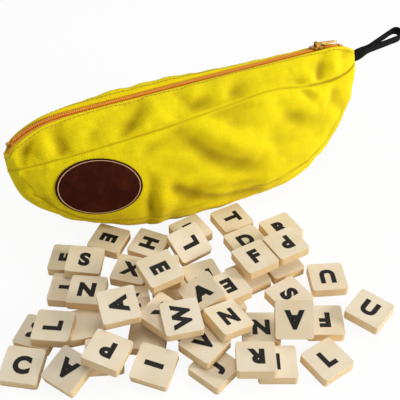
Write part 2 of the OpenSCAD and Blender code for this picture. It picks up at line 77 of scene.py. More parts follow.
# Sizes of the case that the frame's solids were drawn with, in millimetres.
CASE_LENGTH, CASE_HEIGHT, CASE_THICKNESS, CASE_LEAN = 230.0, 79.5, 50.0, 20.0
CANVAS, CLOTH_GAP, STRAP_THICK, ZIP_SHOW = 1.0, 0.15, 0.9, 8.4
FAR_END, CLOSED_END, FAR_DROP, CLOSED_DROP, BELLY_SEAM = 50.0, 20.0, 14.0, 7.0, 2.0
TAPE_THICK, TAPE_TUCK, CHAIN_SLOT = 0.5, 5.0, 0.9
PATCH_REACH, PATCH_LEVEL, PATCH_TURN = 68.0, 39.0, 13.0
PATCH_LENGTH, PATCH_HEIGHT, PATCH_THICK, PATCH_SEAT = 48.5, 34.0, 0.6, 0.3
STRAP_WIDTH, STRAP_LENGTH, STRAP_TAIL, STRAP_JOINED = 7.0, 36.0, 8.0, 0.27
STRAP_EYE, STRAP_RISE, STRAP_TWIST, STRAP_HEIGHT = 6.0, 12.0, 38.0, 69.5
LEG_GAP = 0.3

# The case's sections from its far end to its closed end: the place along the case as a share of
# half its length, the heights of the side seam and of the belly as shares of its height, the
# half thickness at both as shares of half its thickness, and how far the back puffs up.
SECTIONS = np.array([
    [-1.000, 0.725, 0.700, 0.000, 0.000, 0.00],
    [-0.978, 0.725, 0.565, 0.120, 0.120, 0.00],
    [-0.925, 0.730, 0.455, 0.260, 0.290, 0.00],
    [-0.820, 0.740, 0.325, 0.400, 0.480, 0.03],
    [-0.650, 0.755, 0.175, 0.580, 0.720, 0.11],
    [-0.430, 0.780, 0.045, 0.730, 0.910, 0.18],
    [-0.170, 0.800, -0.008, 0.790, 1.000, 0.19],
    [0.130, 0.835, -0.012, 0.790, 1.000, 0.13],
    [0.390, 0.855, -0.006, 0.750, 0.960, 0.04],
    [0.620, 0.800, 0.085, 0.640, 0.800, 0.00],
    [0.800, 0.775, 0.275, 0.440, 0.560, 0.00],
    [0.915, 0.780, 0.490, 0.250, 0.310, 0.00],
    [0.975, 0.810, 0.665, 0.110, 0.120, 0.00],
    [1.000, 0.845, 0.785, 0.000, 0.000, 0.00]])
LAST_ROW = len(SECTIONS) - 1
PUFF = 2.3
LEAN_COS, LEAN_SIN = math.cos(math.radians(CASE_LEAN)), math.sin(math.radians(CASE_LEAN))


def leaned(x, y, z):
    return np.stack([x, y * LEAN_COS + z * LEAN_SIN, z * LEAN_COS - y * LEAN_SIN], -1)


def section(t):
    t = np.asarray(t, float)
    i = np.clip(np.floor(t).astype(int), 0, LAST_ROW - 1)
    f = (t - i)[..., None]
    a, b, c, d = (SECTIONS[np.clip(i + k, 0, LAST_ROW)] for k in (-1, 0, 1, 2))
    return 0.5 * (2 * b + (c - a) * f + (2 * a - 5 * b + 4 * c - d) * f * f
                  + (3 * b - 3 * c + d - a) * f * f * f)


def zip_height(x):
    left, right = FAR_END - CASE_LENGTH / 2, CASE_LENGTH / 2 - CLOSED_END
    return (CASE_HEIGHT - FAR_DROP * (np.maximum(0, left - x) / FAR_END) ** 3.2
            - CLOSED_DROP * (np.maximum(0, x - right) / CLOSED_END) ** 2)


def end_half(x):
    return CANVAS + CLOTH_GAP / 2 + STRAP_THICK * (0.5 + x / CASE_LENGTH)


def half_at(share, x):
    return end_half(x) + np.maximum(share, 0) * (CASE_THICKNESS / 2 - end_half(x))


def mix(a, b, f):
    return a + (b - a) * f


def canvas_curve(t, back, lower, inset=0.0):
    """The four control points of one side's section, upright, as [t, point, (across, height)].
    The shares below are those that the solids were drawn with."""
    r = section(t)
    x = r[..., 0] * CASE_LENGTH / 2
    seam = np.stack([half_at(r[..., 3], x), r[..., 1] * CASE_HEIGHT], -1)
    up = np.maximum(0, 1 - r[..., 3] / 0.08)
    flat = 1 - up
    if not lower:
        top = zip_height(x) + CLOTH_GAP + CANVAS
        zip_half = np.minimum(ZIP_SHOW / 2, 0.1 + 0.55 * (seam[..., 0] - end_half(x)))
        edge = np.stack([mix(zip_half, seam[..., 0] - inset, up), top - inset * flat], -1)
        puff = PUFF * r[..., 5] * CASE_THICKNESS / 2 if back else np.zeros_like(x)
        wide = (seam[..., 0] - edge[..., 0]) * flat
        c = [edge, edge + np.stack([0.42 * wide, puff], -1),
             seam + np.stack([-0.14 * wide + 0.25 * puff - mix(0.85, 1, up) * inset,
                              0.52 * (top - seam[..., 1]) - 0.55 * inset * flat], -1),
             seam - np.stack([inset + 0 * x, 0 * x], -1)]
    else:
        belly = half_at(r[..., 4], x)
        low = r[..., 2] * CASE_HEIGHT
        meet = BELLY_SEAM * np.minimum(1, belly / 12) * (-1 if back else 1)
        fall = seam[..., 1] - low
        c = [seam - np.stack([inset + 0 * x, 0 * x], -1),
             np.stack([belly * mix(1.16 if back else 1.10, 1, up) - inset,
                       seam[..., 1] - 0.42 * fall], -1),
             np.stack([belly * mix(1.02 if back else 0.86, 1, up) - mix(0.7, 1, up) * inset,
                       low + 0.7 * inset * flat - (0.03 * fall if back else 0)], -1),
             np.stack([mix(meet, belly - inset, up), low + inset * flat], -1)]
    return x, np.stack(c, -2)


def bezier(c, q):
    q = np.asarray(q, float)[..., None]
    return ((1 - q) ** 3 * c[..., 0, :] + 3 * q * (1 - q) ** 2 * c[..., 1, :]
            + 3 * q * q * (1 - q) * c[..., 2, :] + q ** 3 * c[..., 3, :])


def canvas_points(t, q, back, lower):
    """Points of the grid of t by q, its belly flattened on the table, and their (along, height)
    on the upright case."""
    x, c = canvas_curve(np.asarray(t)[:, None], back, lower)
    p = bezier(c, np.asarray(q)[None, :])
    x = np.broadcast_to(x, p.shape[:-1])
    w = leaned(x, (1 if back else -1) * p[..., 0], p[..., 1])
    w[..., 2] = np.maximum(w[..., 2], 0)
    return w, np.stack([x, p[..., 1]], -1)


# Folds of the canvas on the front and the back, each as (depth, width, points): a line of
# (along, height) points in millimetres, pressed in by its depth, with a soft ridge beside it.
FRONT_FOLDS = [
    (1.7, 3.4, [(-34, 77), (-40, 71), (-49, 65)]),
    (-1.3, 7.0, [(-33, 70), (-22, 74)]),
    (1.4, 4.0, [(-9, 76), (-5, 71), (8, 74)]),
    (-1.0, 5.0, [(4, 76), (14, 73)]),
    (1.2, 3.6, [(19, 72), (27, 75)]),
    (1.3, 3.0, [(-106, 60), (-103, 67), (-98, 74)]),
    (1.6, 4.5, [(-84, 60), (-84, 73)]),
    (-0.9, 6.0, [(-94, 62), (-93, 70)]),
    (0.8, 4.0, [(-70, 63), (-62, 72)]),
    (1.9, 4.5, [(89, 76), (84, 69), (80, 63)]),
    (-1.0, 5.0, [(96, 74), (92, 66)]),
    (1.7, 3.8, [(66, 68), (70, 61), (75, 53)]),
    (2.1, 6.0, [(-16, 57), (-4, 45), (6, 37), (28, 25)]),
    (-1.4, 8.0, [(-4, 57), (14, 44), (34, 33)]),
    (1.3, 6.5, [(50, 53), (62, 46), (80, 39)]),
    (1.8, 3.6, [(-40, 36), (-41, 24), (-41, 8)]),
    (-0.9, 5.0, [(-31, 34), (-32, 12)]),
    (1.7, 3.8, [(-27, 27), (-12, 16), (2, 10), (30, 5)]),
    (1.3, 3.2, [(-14, 24), (6, 17), (30, 13)]),
    (1.0, 4.0, [(-39, 53), (-27, 57)]),
    (1.0, 4.5, [(-100, 40), (-92, 26)]),
    (1.1, 5.0, [(88, 52), (98, 42)]),
]
BACK_FOLDS = [
    (1.8, 5.0, [(-60, 64), (-48, 48), (-40, 30)]),
    (1.6, 5.5, [(-4, 66), (6, 46), (24, 30)]),
    (-1.2, 8.0, [(-22, 56), (-12, 34)]),
    (1.4, 4.5, [(48, 66), (54, 48), (70, 36)]),
    (1.3, 3.6, [(-104, 60), (-97, 70)]),
    (1.4, 4.0, [(86, 74), (82, 60)]),
    (1.5, 4.0, [(-30, 14), (0, 9), (34, 14)]),
]
# Beside each fold stands a ridge: its share of the depth, and its place and width in widths.
RIDGE, RIDGE_PLACE, RIDGE_WIDTH = 0.45, 1.7, 1.1
# Smooth noise over the whole canvas: the size of its waves, their height and their seed.
WRINKLES = ((26.0, 0.9, 3.0), (11.0, 0.55, 17.0), (5.0, 0.18, 41.0))
BACK_SEED = 7.0
# The seam that closes the belly runs along the front just above the table.
LOW_SEAM = [(-104, 42), (-92, 29), (-78, 19), (-64, 13.5), (-41, 9.5), (-16, 8.3), (14, 8.3),
            (44, 10), (66, 15), (84, 25), (100, 42)]


def line_distance(x, z, points):
    """Signed distance to a line of points, and the share of the way along it."""
    best = np.full(x.shape, 1e9)
    side = np.ones(x.shape)
    along = np.zeros(x.shape)
    lengths = [math.dist(a, b) for a, b in zip(points, points[1:])]
    total, done = sum(lengths), 0.0
    for (ax, az), (bx, bz), length in zip(points, points[1:], lengths):
        ux, uz = (bx - ax) / length, (bz - az) / length
        f = np.clip((x - ax) * ux + (z - az) * uz, 0, length)
        dx, dz = x - ax - f * ux, z - az - f * uz
        d = np.hypot(dx, dz)
        near = d < best
        best = np.where(near, d, best)
        side = np.where(near, np.sign(ux * dz - uz * dx + 1e-9), side)
        along = np.where(near, (done + f) / total, along)
        done += length
    return best, side, along


def smooth(a, b, value):
    f = np.clip((value - a) / (b - a), 0, 1)
    return f * f * (3 - 2 * f)


def drawn_in(x):
    """How far the far end seam is drawn in by its stitching."""
    return FAR_PULL * smooth(FAR_PULL_FROM, CASE_LENGTH / 2, -x)


def patch_distance(x, z):
    """1 on the edge of the oval patch, less inside it."""
    c, s = math.cos(math.radians(PATCH_TURN)), math.sin(math.radians(PATCH_TURN))
    dx, dz = x + PATCH_REACH, z - PATCH_LEVEL
    return np.hypot((dx * c - dz * s) / (PATCH_LENGTH / 2), (dx * s + dz * c) / (PATCH_HEIGHT / 2))


def fold_depth(x, z, back, scale):
    """How far the canvas is pushed out, in millimetres."""
    out = np.zeros(x.shape)
    for depth, width, points in BACK_FOLDS if back else FRONT_FOLDS:
        d, side, along = line_distance(x, z, points)
        ends = np.sin(np.pi * np.clip(0.12 + 0.76 * along, 0, 1)) ** 0.6
        shift = side * d / width
        ridge = RIDGE * np.exp(-((shift - RIDGE_PLACE) / RIDGE_WIDTH) ** 2)
        out -= scale * depth * ends * (np.exp(-shift ** 2) - ridge)
    for size, height, seed in WRINKLES:
        seed += BACK_SEED if back else 0.0
        wave = [noise.noise(Vector((u / size, v / size * 1.4, seed)))
                for u, v in zip(x.ravel(), z.ravel())]
        out += scale * height * np.reshape(wave, x.shape)
    return out


def grid_normals(p, outward):
    du = np.gradient(p, axis=0)
    dv = np.gradient(p, axis=1)
    n = np.cross(du, dv)
    n /= np.maximum(np.linalg.norm(n, axis=-1, keepdims=True), 1e-9)
    return n if (n * outward).sum() > 0 else -n


COLUMNS_PER_ROW = 18
PANEL_ROWS = {False: 30, True: 48}
# Folds fade out over these distances beside the side seam, the belly seam, the hem and the ends.
SEAM_FREE, BELLY_FREE, HEM_FREE, END_FREE = 3.2, 3.0, 1.5, 7.0
# They also fade out towards the patch, between these multiples of its size.
PATCH_FREE = (1.04, 1.32)
# Fold depth, in millimetres, at which the painted shade in the creases is at its darkest.
FULL_SHADE_DEPTH = 2.6
# Depth and reach of the side seam, and what its sharp dart at the closed end adds.
SEAM_PINCH, SEAM_REACH = 0.55, 0.9
DART_PINCH, DART_REACH, DART_FROM, DART_TO = 1.0, 1.3, 64, 78
# Puckers beside the side seam: height, pitch, distance from the seam and width.
PUCKER_HEIGHT, PUCKER_PITCH, PUCKER_PLACE, PUCKER_WIDTH = 0.13, 5.2, 2.2, 1.5
# Depth and width of the belly seam and of the line above it on the front.
UNDER_DEPTH, UNDER_WIDTH, LINE_DEPTH, LINE_WIDTH = 0.5, 1.3, 0.55, 0.75
# The hem beside the zip: its width, rise, and the groove of its topstitch. The front one stands
# back from the slot, and further back at the far end.
HEM_WIDTH, HEM_RISE, GROOVE_DEPTH, GROOVE_WIDTH = 3.0, 0.22, 0.2, 0.5
HEM_BACK, FAR_WIDER, HEM_SPREAD = 2.6, 0.9, 5.0
FAR_PULL, FAR_PULL_FROM = 2.2, 106.0


def bell(distance, width):
    return np.exp(-(distance / width) ** 2)


def panel_surface(back, lower, fold_scale):
    """Final outer points of a canvas panel, its normals, cloth coordinates, painted shade for its
    creases and seams, and arcs.
    """
    t = np.linspace(0, LAST_ROW, LAST_ROW * COLUMNS_PER_ROW + 1)
    q = np.linspace(0, 1, PANEL_ROWS[lower])
    q = q - 0.06 * np.sin(2 * np.pi * q)
    p, xz = canvas_points(t, q, back, lower)
    outward = np.array([0, LEAN_COS if back else -LEAN_COS, -0.3 if lower else 0.3])
    n = grid_normals(p, outward)
    step = np.linalg.norm(np.diff(p, axis=1), axis=-1)
    arc = np.concatenate([np.zeros((len(t), 1)), np.cumsum(step, axis=1)], axis=1)
    to_seam, to_other = (arc, arc[:, -1:] - arc) if lower else (arc[:, -1:] - arc, arc)
    x, z = xz[..., 0], xz[..., 1]
    from_end = CASE_LENGTH / 2 - np.abs(x)
    ends = smooth(0, END_FREE, from_end)
    dart = smooth(DART_FROM, DART_TO, x)
    free = ends * smooth(0, SEAM_FREE, to_seam) * smooth(
        0, BELLY_FREE if lower else HEM_WIDTH + HEM_FREE, to_other)
    if lower and not back:
        free = free * smooth(*PATCH_FREE, patch_distance(x, z))
    push = free * fold_depth(x, z, back, fold_scale)
    # Painted shade: the deeper a fold presses the canvas in, the darker its colour is painted.
    painted_shade_and_border = np.clip(-push / FULL_SHADE_DEPTH, 0, 1)
    push = push - (SEAM_PINCH + DART_PINCH * dart) * ends * bell(
        to_seam, SEAM_REACH + DART_REACH * dart)
    # Painted shade in the pinched groove of the side seam, darker along the dart. It also draws the
    # seam as a thin dark line.
    painted_shade_and_border = np.maximum(painted_shade_and_border, (0.6 + 0.4 * dart) * bell(to_seam, 0.5 + 0.35 * dart))
    push = push + (PUCKER_HEIGHT * np.sin(x * 2 * np.pi / PUCKER_PITCH)
                   * bell(to_seam - PUCKER_PLACE, PUCKER_WIDTH) * ends)
    if lower:
        push = push - UNDER_DEPTH * bell(to_other, UNDER_WIDTH) * ends
        if not back:
            line = bell(line_distance(x, z, LOW_SEAM)[0], LINE_WIDTH)
            line = line * smooth(1.0, 1.1, patch_distance(x, z))
            push = push - LINE_DEPTH * line
            # Painted shade in the pressed line of the low seam on the front.
            painted_shade_and_border = np.maximum(painted_shade_and_border, 0.7 * line)
    else:
        # The hem is turned in beside the zip: it stands a little proud up to its topstitch.
        groove = bell(to_other - HEM_WIDTH + 0.3, GROOVE_WIDTH) * ends
        push = push + HEM_RISE * smooth(HEM_WIDTH + 0.8, HEM_WIDTH - 0.4, to_other) * ends
        push = push - GROOVE_DEPTH * groove
        # Painted shade in the topstitch groove beside the zip.
        painted_shade_and_border = np.maximum(painted_shade_and_border, 0.35 * groove)
    p = p + n * push[..., None]
    if not lower and not back:
        away = p[:, 1:2] - p[:, :1]
        away /= np.maximum(np.linalg.norm(away, axis=-1, keepdims=True), 1e-9)
        wider = 1 + FAR_WIDER * smooth(-50, -105, x)
        shift = HEM_BACK * wider * bell(arc, HEM_SPREAD) * smooth(0, 3, from_end)
        p = p + away * shift[..., None]
    p[..., 0] += drawn_in(x)
    p[..., 2] = np.maximum(p[..., 2], 0.05)
    return p, grid_normals(p, outward), np.stack([x, arc + (300 if back else 0)], -1), painted_shade_and_border, arc


def srgb(code):
    """An sRGB hex colour as the linear values that Blender's sockets take."""
    parts = [int(code.lstrip("#")[i:i + 2], 16) / 255 for i in (0, 2, 4)]
    return tuple(c / 12.92 if c <= 0.04045 else ((c + 0.055) / 1.055) ** 2.4
                 for c in parts) + (1.0,)


def opaque(colour):
    return tuple(colour) + (1.0,)


def feed(tree, node, links):
    """Sets or links a node's inputs by name or number. A node given as a value is linked from its
    first output."""
    for key, value in links.items():
        if isinstance(value, bpy.types.Node):
            value = value.outputs[0]
        if isinstance(value, bpy.types.NodeSocket):
            tree.links.new(value, node.inputs[key])
        else:
            node.inputs[key].default_value = value
    return node


def add(tree, kind, links=None, **settings):
    """Adds a node, sets its properties and feeds its inputs."""
    node = tree.nodes.new(kind)
    for key, value in settings.items():
        setattr(node, key, value)
    return feed(tree, node, links or {})


def new_material(name):
    """An empty material, its tree and its shader."""
    old = bpy.data.materials.get(name)
    if old:
        bpy.data.materials.remove(old)
    material = bpy.data.materials.new(name)
    material.use_nodes = True
    tree = material.node_tree
    tree.nodes.clear()
    shader = add(tree, "ShaderNodeBsdfPrincipled")
    add(tree, "ShaderNodeOutputMaterial", {"Surface": shader})
    return material, tree, shader


def canvas_material(settings):
    """Cotton canvas, piece dyed and unfinished: matt, with a plain weave that catches the light, a
    little fuzz at grazing angles, random duller patches, and painted shade in its creases and
    seams."""
    material, tree, shader = new_material("cotton_canvas")
    cloth = add(tree, "ShaderNodeUVMap", uv_map="cloth")
    place = add(tree, "ShaderNodeTexCoord").outputs["Object"]
    # Warp and weft are two sine waves: their product is high where a thread lies on top.
    parts = add(tree, "ShaderNodeSeparateXYZ", {"Vector": cloth})
    warp, weft = (add(tree, "ShaderNodeMath", {0: add(tree, "ShaderNodeMath", {
        0: parts.outputs[i], 1: math.pi / settings.weave_spacing}, operation="MULTIPLY")},
        operation="SINE") for i in (0, 1))
    threads = add(tree, "ShaderNodeMath", {0: warp, 1: weft}, operation="MULTIPLY")
    # Thicker stretches of yarn run along and across the cloth.
    slubs, slubs_up = (add(tree, "ShaderNodeTexNoise", {
        "Vector": add(tree, "ShaderNodeMapping", {"Vector": cloth, "Scale": stretch}),
        "Scale": 1.0, "Detail": 3.0}) for stretch in ((0.12, 1.1, 1.0), (1.1, 0.12, 1.0)))
    grain = add(tree, "ShaderNodeMath", {0: slubs, 1: slubs_up}, operation="ADD")
    patches = add(tree, "ShaderNodeTexNoise", {
        "Vector": place, "Scale": 34.0, "Detail": 3.0, "Roughness": 0.55})
    dull = add(tree, "ShaderNodeMapRange", {"Value": patches, "From Min": 0.48, "From Max": 0.72,
                                            "To Min": 0.0, "To Max": 0.42})
    colour = add(tree, "ShaderNodeMix", {
        "Factor": dull, 6: opaque(settings.canvas_colour), 7: opaque(settings.canvas_dull)},
        data_type="RGBA").outputs[2]
    # Painted shade: the colour turns towards the darker shade colour where the mesh's attribute
    # marks the creases, the seams and the hem's groove.
    painted_shade = add(tree, "ShaderNodeMath", {
        0: add(tree, "ShaderNodeAttribute", attribute_name="painted_shade_and_border").outputs["Fac"], 1: 0.8},
        operation="MULTIPLY")
    colour = add(tree, "ShaderNodeMix", {
        "Factor": painted_shade, 6: colour, 7: opaque(settings.canvas_painted_shade)},
        data_type="RGBA").outputs[2]
    tone = add(tree, "ShaderNodeMapRange", {"Value": grain, "From Min": 0.75, "From Max": 1.25,
                                            "To Min": 0.93, "To Max": 1.05})
    gaps = add(tree, "ShaderNodeMapRange", {"Value": threads, "From Min": -1.0, "From Max": 1.0,
                                            "To Min": 0.93, "To Max": 1.03})
    for value in (tone, gaps):
        colour = add(tree, "ShaderNodeMix", {"Factor": 1.0, 6: colour, 7: value},
                     data_type="RGBA", blend_type="MULTIPLY").outputs[2]
    height = add(tree, "ShaderNodeMath", {0: grain, 1: 0.5, 2: threads}, operation="MULTIPLY_ADD")
    bump = add(tree, "ShaderNodeBump", {"Strength": 0.4, "Distance": 0.18 * MM, "Height": height})
    feed(tree, shader, {"Base Color": colour, "Roughness": 0.88, "Specular IOR Level": 0.15,
                        "Sheen Weight": 0.04, "Sheen Roughness": 0.5, "Normal": bump})
    return material


def zip_cloth_material(settings):
    """Polyester zip tape: a tight herringbone weave with a slight shine."""
    material, tree, shader = new_material("polyester_zip_tape")
    parts = add(tree, "ShaderNodeSeparateXYZ", {
        "Vector": add(tree, "ShaderNodeUVMap", uv_map="cloth")})
    zigzag = add(tree, "ShaderNodeMath", {0: parts.outputs[1], 1: 1.2}, operation="PINGPONG")
    slant = add(tree, "ShaderNodeMath", {0: parts.outputs[0], 1: zigzag}, operation="ADD")
    turns = add(tree, "ShaderNodeMath", {0: slant, 1: 2 * math.pi / 1.1}, operation="MULTIPLY")
    rib = add(tree, "ShaderNodeMath", {0: turns}, operation="SINE")
    tone = add(tree, "ShaderNodeMapRange", {"Value": rib, "From Min": -1.0, "To Min": 0.88,
                                            "To Max": 1.04})
    colour = add(tree, "ShaderNodeMix", {"Factor": 1.0, 6: opaque(settings.zip_colour), 7: tone},
                 data_type="RGBA", blend_type="MULTIPLY")
    bump = add(tree, "ShaderNodeBump", {"Strength": 0.5, "Distance": 0.15 * MM, "Height": rib})
    feed(tree, shader, {"Base Color": colour.outputs[2], "Roughness": 0.6, "Normal": bump})
    return material


def coil_material(settings):
    """Polyester coil of the zip: extruded thread, smooth, so it shines along each turn."""
    material, tree, shader = new_material("polyester_zip_coil")
    place = add(tree, "ShaderNodeTexCoord").outputs["Object"]
    spots = add(tree, "ShaderNodeTexNoise", {"Vector": place, "Scale": 220.0, "Detail": 2.0})
    share = add(tree, "ShaderNodeMath", {0: spots, 1: 0.3}, operation="MULTIPLY")
    colour = add(tree, "ShaderNodeMix", {
        "Factor": share, 6: opaque(settings.coil_colour), 7: opaque(settings.zip_colour)},
        data_type="RGBA")
    feed(tree, shader, {"Base Color": colour.outputs[2], "Roughness": 0.38})
    return material


def brass_material(settings):
    """Yellow brass, die cast and tumbled: rounded gloss with fine scratches, browner where it
    isn't rubbed."""
    material, tree, shader = new_material("tumbled_brass")
    place = add(tree, "ShaderNodeTexCoord").outputs["Object"]
    spots = add(tree, "ShaderNodeTexNoise", {"Vector": place, "Scale": 420.0, "Detail": 4.0})
    worn = add(tree, "ShaderNodeMapRange", {"Value": spots, "From Min": 0.42, "From Max": 0.66})
    colour = add(tree, "ShaderNodeMix", {
        "Factor": worn, 6: opaque(settings.brass_colour), 7: srgb("#7A5A22")}, data_type="RGBA")
    rough = add(tree, "ShaderNodeMapRange", {"Value": spots, "To Min": 0.22, "To Max": 0.42})
    scratches = add(tree, "ShaderNodeTexNoise", {"Vector": add(tree, "ShaderNodeMapping", {
        "Vector": place, "Scale": (300.0, 2600.0, 2600.0)}), "Scale": 1.0, "Detail": 2.0})
    bump = add(tree, "ShaderNodeBump", {"Strength": 0.25, "Distance": 0.02 * MM,
                                        "Height": scratches})
    feed(tree, shader, {"Base Color": colour.outputs[2], "Metallic": 1.0, "Roughness": rough,
                        "Normal": bump})
    return material


def webbing_material(settings):
    """Polypropylene webbing: flat woven in chevrons, black, with a low waxy shine."""
    material, tree, shader = new_material("polypropylene_webbing")
    parts = add(tree, "ShaderNodeSeparateXYZ", {
        "Vector": add(tree, "ShaderNodeUVMap", uv_map="cloth")})
    zigzag = add(tree, "ShaderNodeMath", {0: parts.outputs[1], 1: 1.75}, operation="PINGPONG")
    slant = add(tree, "ShaderNodeMath", {0: parts.outputs[0], 1: zigzag}, operation="ADD")
    rib, warp = (add(tree, "ShaderNodeMath", {0: add(tree, "ShaderNodeMath", {
        0: value, 1: 2 * math.pi / pitch}, operation="MULTIPLY")}, operation="SINE")
        for value, pitch in ((slant, 1.3), (parts.outputs[1], 0.7)))
    height = add(tree, "ShaderNodeMath", {0: warp, 1: 0.4, 2: rib}, operation="MULTIPLY_ADD")
    tone = add(tree, "ShaderNodeMapRange", {"Value": height, "From Min": -1.4, "From Max": 1.4})
    colour = add(tree, "ShaderNodeMix", {
        "Factor": tone, 6: srgb("#050406"), 7: opaque(settings.webbing_colour)}, data_type="RGBA")
    bump = add(tree, "ShaderNodeBump", {"Strength": 0.7, "Distance": 0.2 * MM, "Height": height})
    feed(tree, shader, {"Base Color": colour.outputs[2], "Roughness": 0.75,
                        "Specular IOR Level": 0.12, "Normal": bump})
    return material


def patch_material(settings):
    """Bonded leather, dyed dark brown: a fine pebble grain, mottled where the dye took less."""
    material, tree, shader = new_material("bonded_leather")
    place = add(tree, "ShaderNodeTexCoord").outputs["Object"]
    cloud = add(tree, "ShaderNodeTexNoise", {"Vector": place, "Scale": 120.0, "Detail": 5.0,
                                             "Roughness": 0.62, "Distortion": 0.6})
    pale = add(tree, "ShaderNodeMapRange", {"Value": cloud, "From Min": 0.45, "From Max": 0.72})
    colour = add(tree, "ShaderNodeMix", {
        "Factor": pale, 6: opaque(settings.patch_colour), 7: opaque(settings.patch_pale)},
        data_type="RGBA")
    edge = add(tree, "ShaderNodeAttribute", attribute_name="painted_shade_and_border").outputs["Fac"]
    colour = add(tree, "ShaderNodeMix", {
        "Factor": edge, 6: colour.outputs[2], 7: srgb("#250B05")}, data_type="RGBA")
    rough = add(tree, "ShaderNodeMapRange", {"Value": cloud, "To Min": 0.6, "To Max": 0.85})
    grain = add(tree, "ShaderNodeTexVoronoi", {"Vector": place, "Scale": 1100.0})
    bump = add(tree, "ShaderNodeBump", {"Strength": 0.35, "Distance": 0.12 * MM, "Height": grain})
    feed(tree, shader, {"Base Color": colour.outputs[2], "Roughness": rough,
                        "Specular IOR Level": 0.08, "Normal": bump})
    return material


def thread_material(name, colour, dark):
    """Spun polyester sewing thread: two plies, matt, so each stitch is lighter on its crown."""
    material, tree, shader = new_material(name)
    place = add(tree, "ShaderNodeTexCoord").outputs["Object"]
    plies = add(tree, "ShaderNodeTexWave", {"Vector": place, "Scale": 0.314 / (0.45 * MM),
                                            "Distortion": 1.5, "Detail": 1.0},
                bands_direction="DIAGONAL").outputs[1]
    mixed = add(tree, "ShaderNodeMix", {"Factor": plies, 6: dark, 7: colour}, data_type="RGBA")
    bump = add(tree, "ShaderNodeBump", {"Strength": 0.3, "Distance": 0.08 * MM, "Height": plies})
    feed(tree, shader, {"Base Color": mixed.outputs[2], "Roughness": 0.75, "Sheen Weight": 0.15,
                        "Normal": bump})
    return material


def tile_material(settings):
    """Urea plastic, compression moulded: ivory, slightly cloudy, satin, with fine wear."""
    material, tree, shader = new_material("moulded_urea")
    place = add(tree, "ShaderNodeTexCoord").outputs["Object"]
    cloud = add(tree, "ShaderNodeTexNoise", {"Vector": place, "Scale": 60.0, "Detail": 4.0})
    tone = add(tree, "ShaderNodeMapRange", {"Value": cloud, "From Min": 0.35, "From Max": 0.7})
    colour = add(tree, "ShaderNodeMix", {
        "Factor": tone, 6: opaque(settings.tile_colour), 7: opaque(settings.tile_deep)},
        data_type="RGBA")
    # Painted shade: the sides, and any face tilted well away from straight up, turn towards the
    # yellower side colour as the world normal turns from up towards level.
    facing = add(tree, "ShaderNodeSeparateXYZ", {
        "Vector": add(tree, "ShaderNodeNewGeometry").outputs["Normal"]}).outputs[2]
    side = add(tree, "ShaderNodeMapRange", {"Value": facing, "From Min": 0.85, "From Max": 0.35,
                                            "To Max": 0.8})
    colour = add(tree, "ShaderNodeMix", {
        "Factor": side, 6: colour.outputs[2], 7: opaque(settings.tile_side_shade)}, data_type="RGBA")
    specks = add(tree, "ShaderNodeTexNoise", {"Vector": place, "Scale": 900.0, "Detail": 2.0})
    rough = add(tree, "ShaderNodeMapRange", {"Value": specks, "To Min": 0.34, "To Max": 0.5})
    bump = add(tree, "ShaderNodeBump", {"Strength": 0.12, "Distance": 0.05 * MM, "Height": specks})
    feed(tree, shader, {"Base Color": colour.outputs[2], "Roughness": rough, "Normal": bump,
                        "Subsurface Weight": 0.12, "Subsurface Radius": (0.004, 0.003, 0.002)})
    return material


def ink_material(settings):
    """Pad-printed epoxy ink: black, slightly uneven in its film, with a soft gloss."""
    material, tree, shader = new_material("printed_ink")
    place = add(tree, "ShaderNodeTexCoord").outputs["Object"]
    film = add(tree, "ShaderNodeTexNoise", {"Vector": place, "Scale": 700.0, "Detail": 3.0})
    colour = add(tree, "ShaderNodeMix", {
        "Factor": film, 6: opaque(settings.ink_colour), 7: srgb("#1A1716")}, data_type="RGBA")
    feed(tree, shader, {"Base Color": colour.outputs[2], "Roughness": 0.6,
                        "Specular IOR Level": 0.2})
    return material


def mesh_piece(name, points, faces, material, uv=None, painted_shade_and_border=None):
    """A mesh object in metres from points in millimetres, its faces turned outwards."""
    mesh = bpy.data.meshes.new(name)
    mesh.from_pydata((np.asarray(points, float) * MM).tolist(), [], faces)
    if uv is not None:
        layer = mesh.uv_layers.new(name="cloth")
        index = np.zeros(len(mesh.loops), np.int32)
        mesh.loops.foreach_get("vertex_index", index)
        layer.data.foreach_set("uv", np.asarray(uv, np.float32)[index].ravel())
    # This point attribute carries painted shade on the canvas, in its creases and seams, and the
    # dark border of the patch.
    if painted_shade_and_border is not None:
        attribute = mesh.attributes.new("painted_shade_and_border", "FLOAT", "POINT")
        attribute.data.foreach_set("value", np.asarray(painted_shade_and_border, np.float32).ravel())
    shape = bmesh.new()
    shape.from_mesh(mesh)
    bmesh.ops.recalc_face_normals(shape, faces=shape.faces)
    shape.to_mesh(mesh)
    shape.free()
    mesh.polygons.foreach_set("use_smooth", [True] * len(mesh.polygons))
    mesh.materials.append(material)
    piece = bpy.data.objects.new(name, mesh)
    bpy.context.scene.collection.objects.link(piece)
    return piece


def loft_faces(rings, size, closed=False, first=0):
    """Quads from each ring of points to the next, and from the last to the first if closed."""
    return [tuple(first + (i + di) % rings * size + (j + dj) % size
                  for di, dj in ((0, 0), (1, 0), (1, 1), (0, 1)))
            for i in range(rings if closed else rings - 1) for j in range(size)]


RIM_STEPS = 3


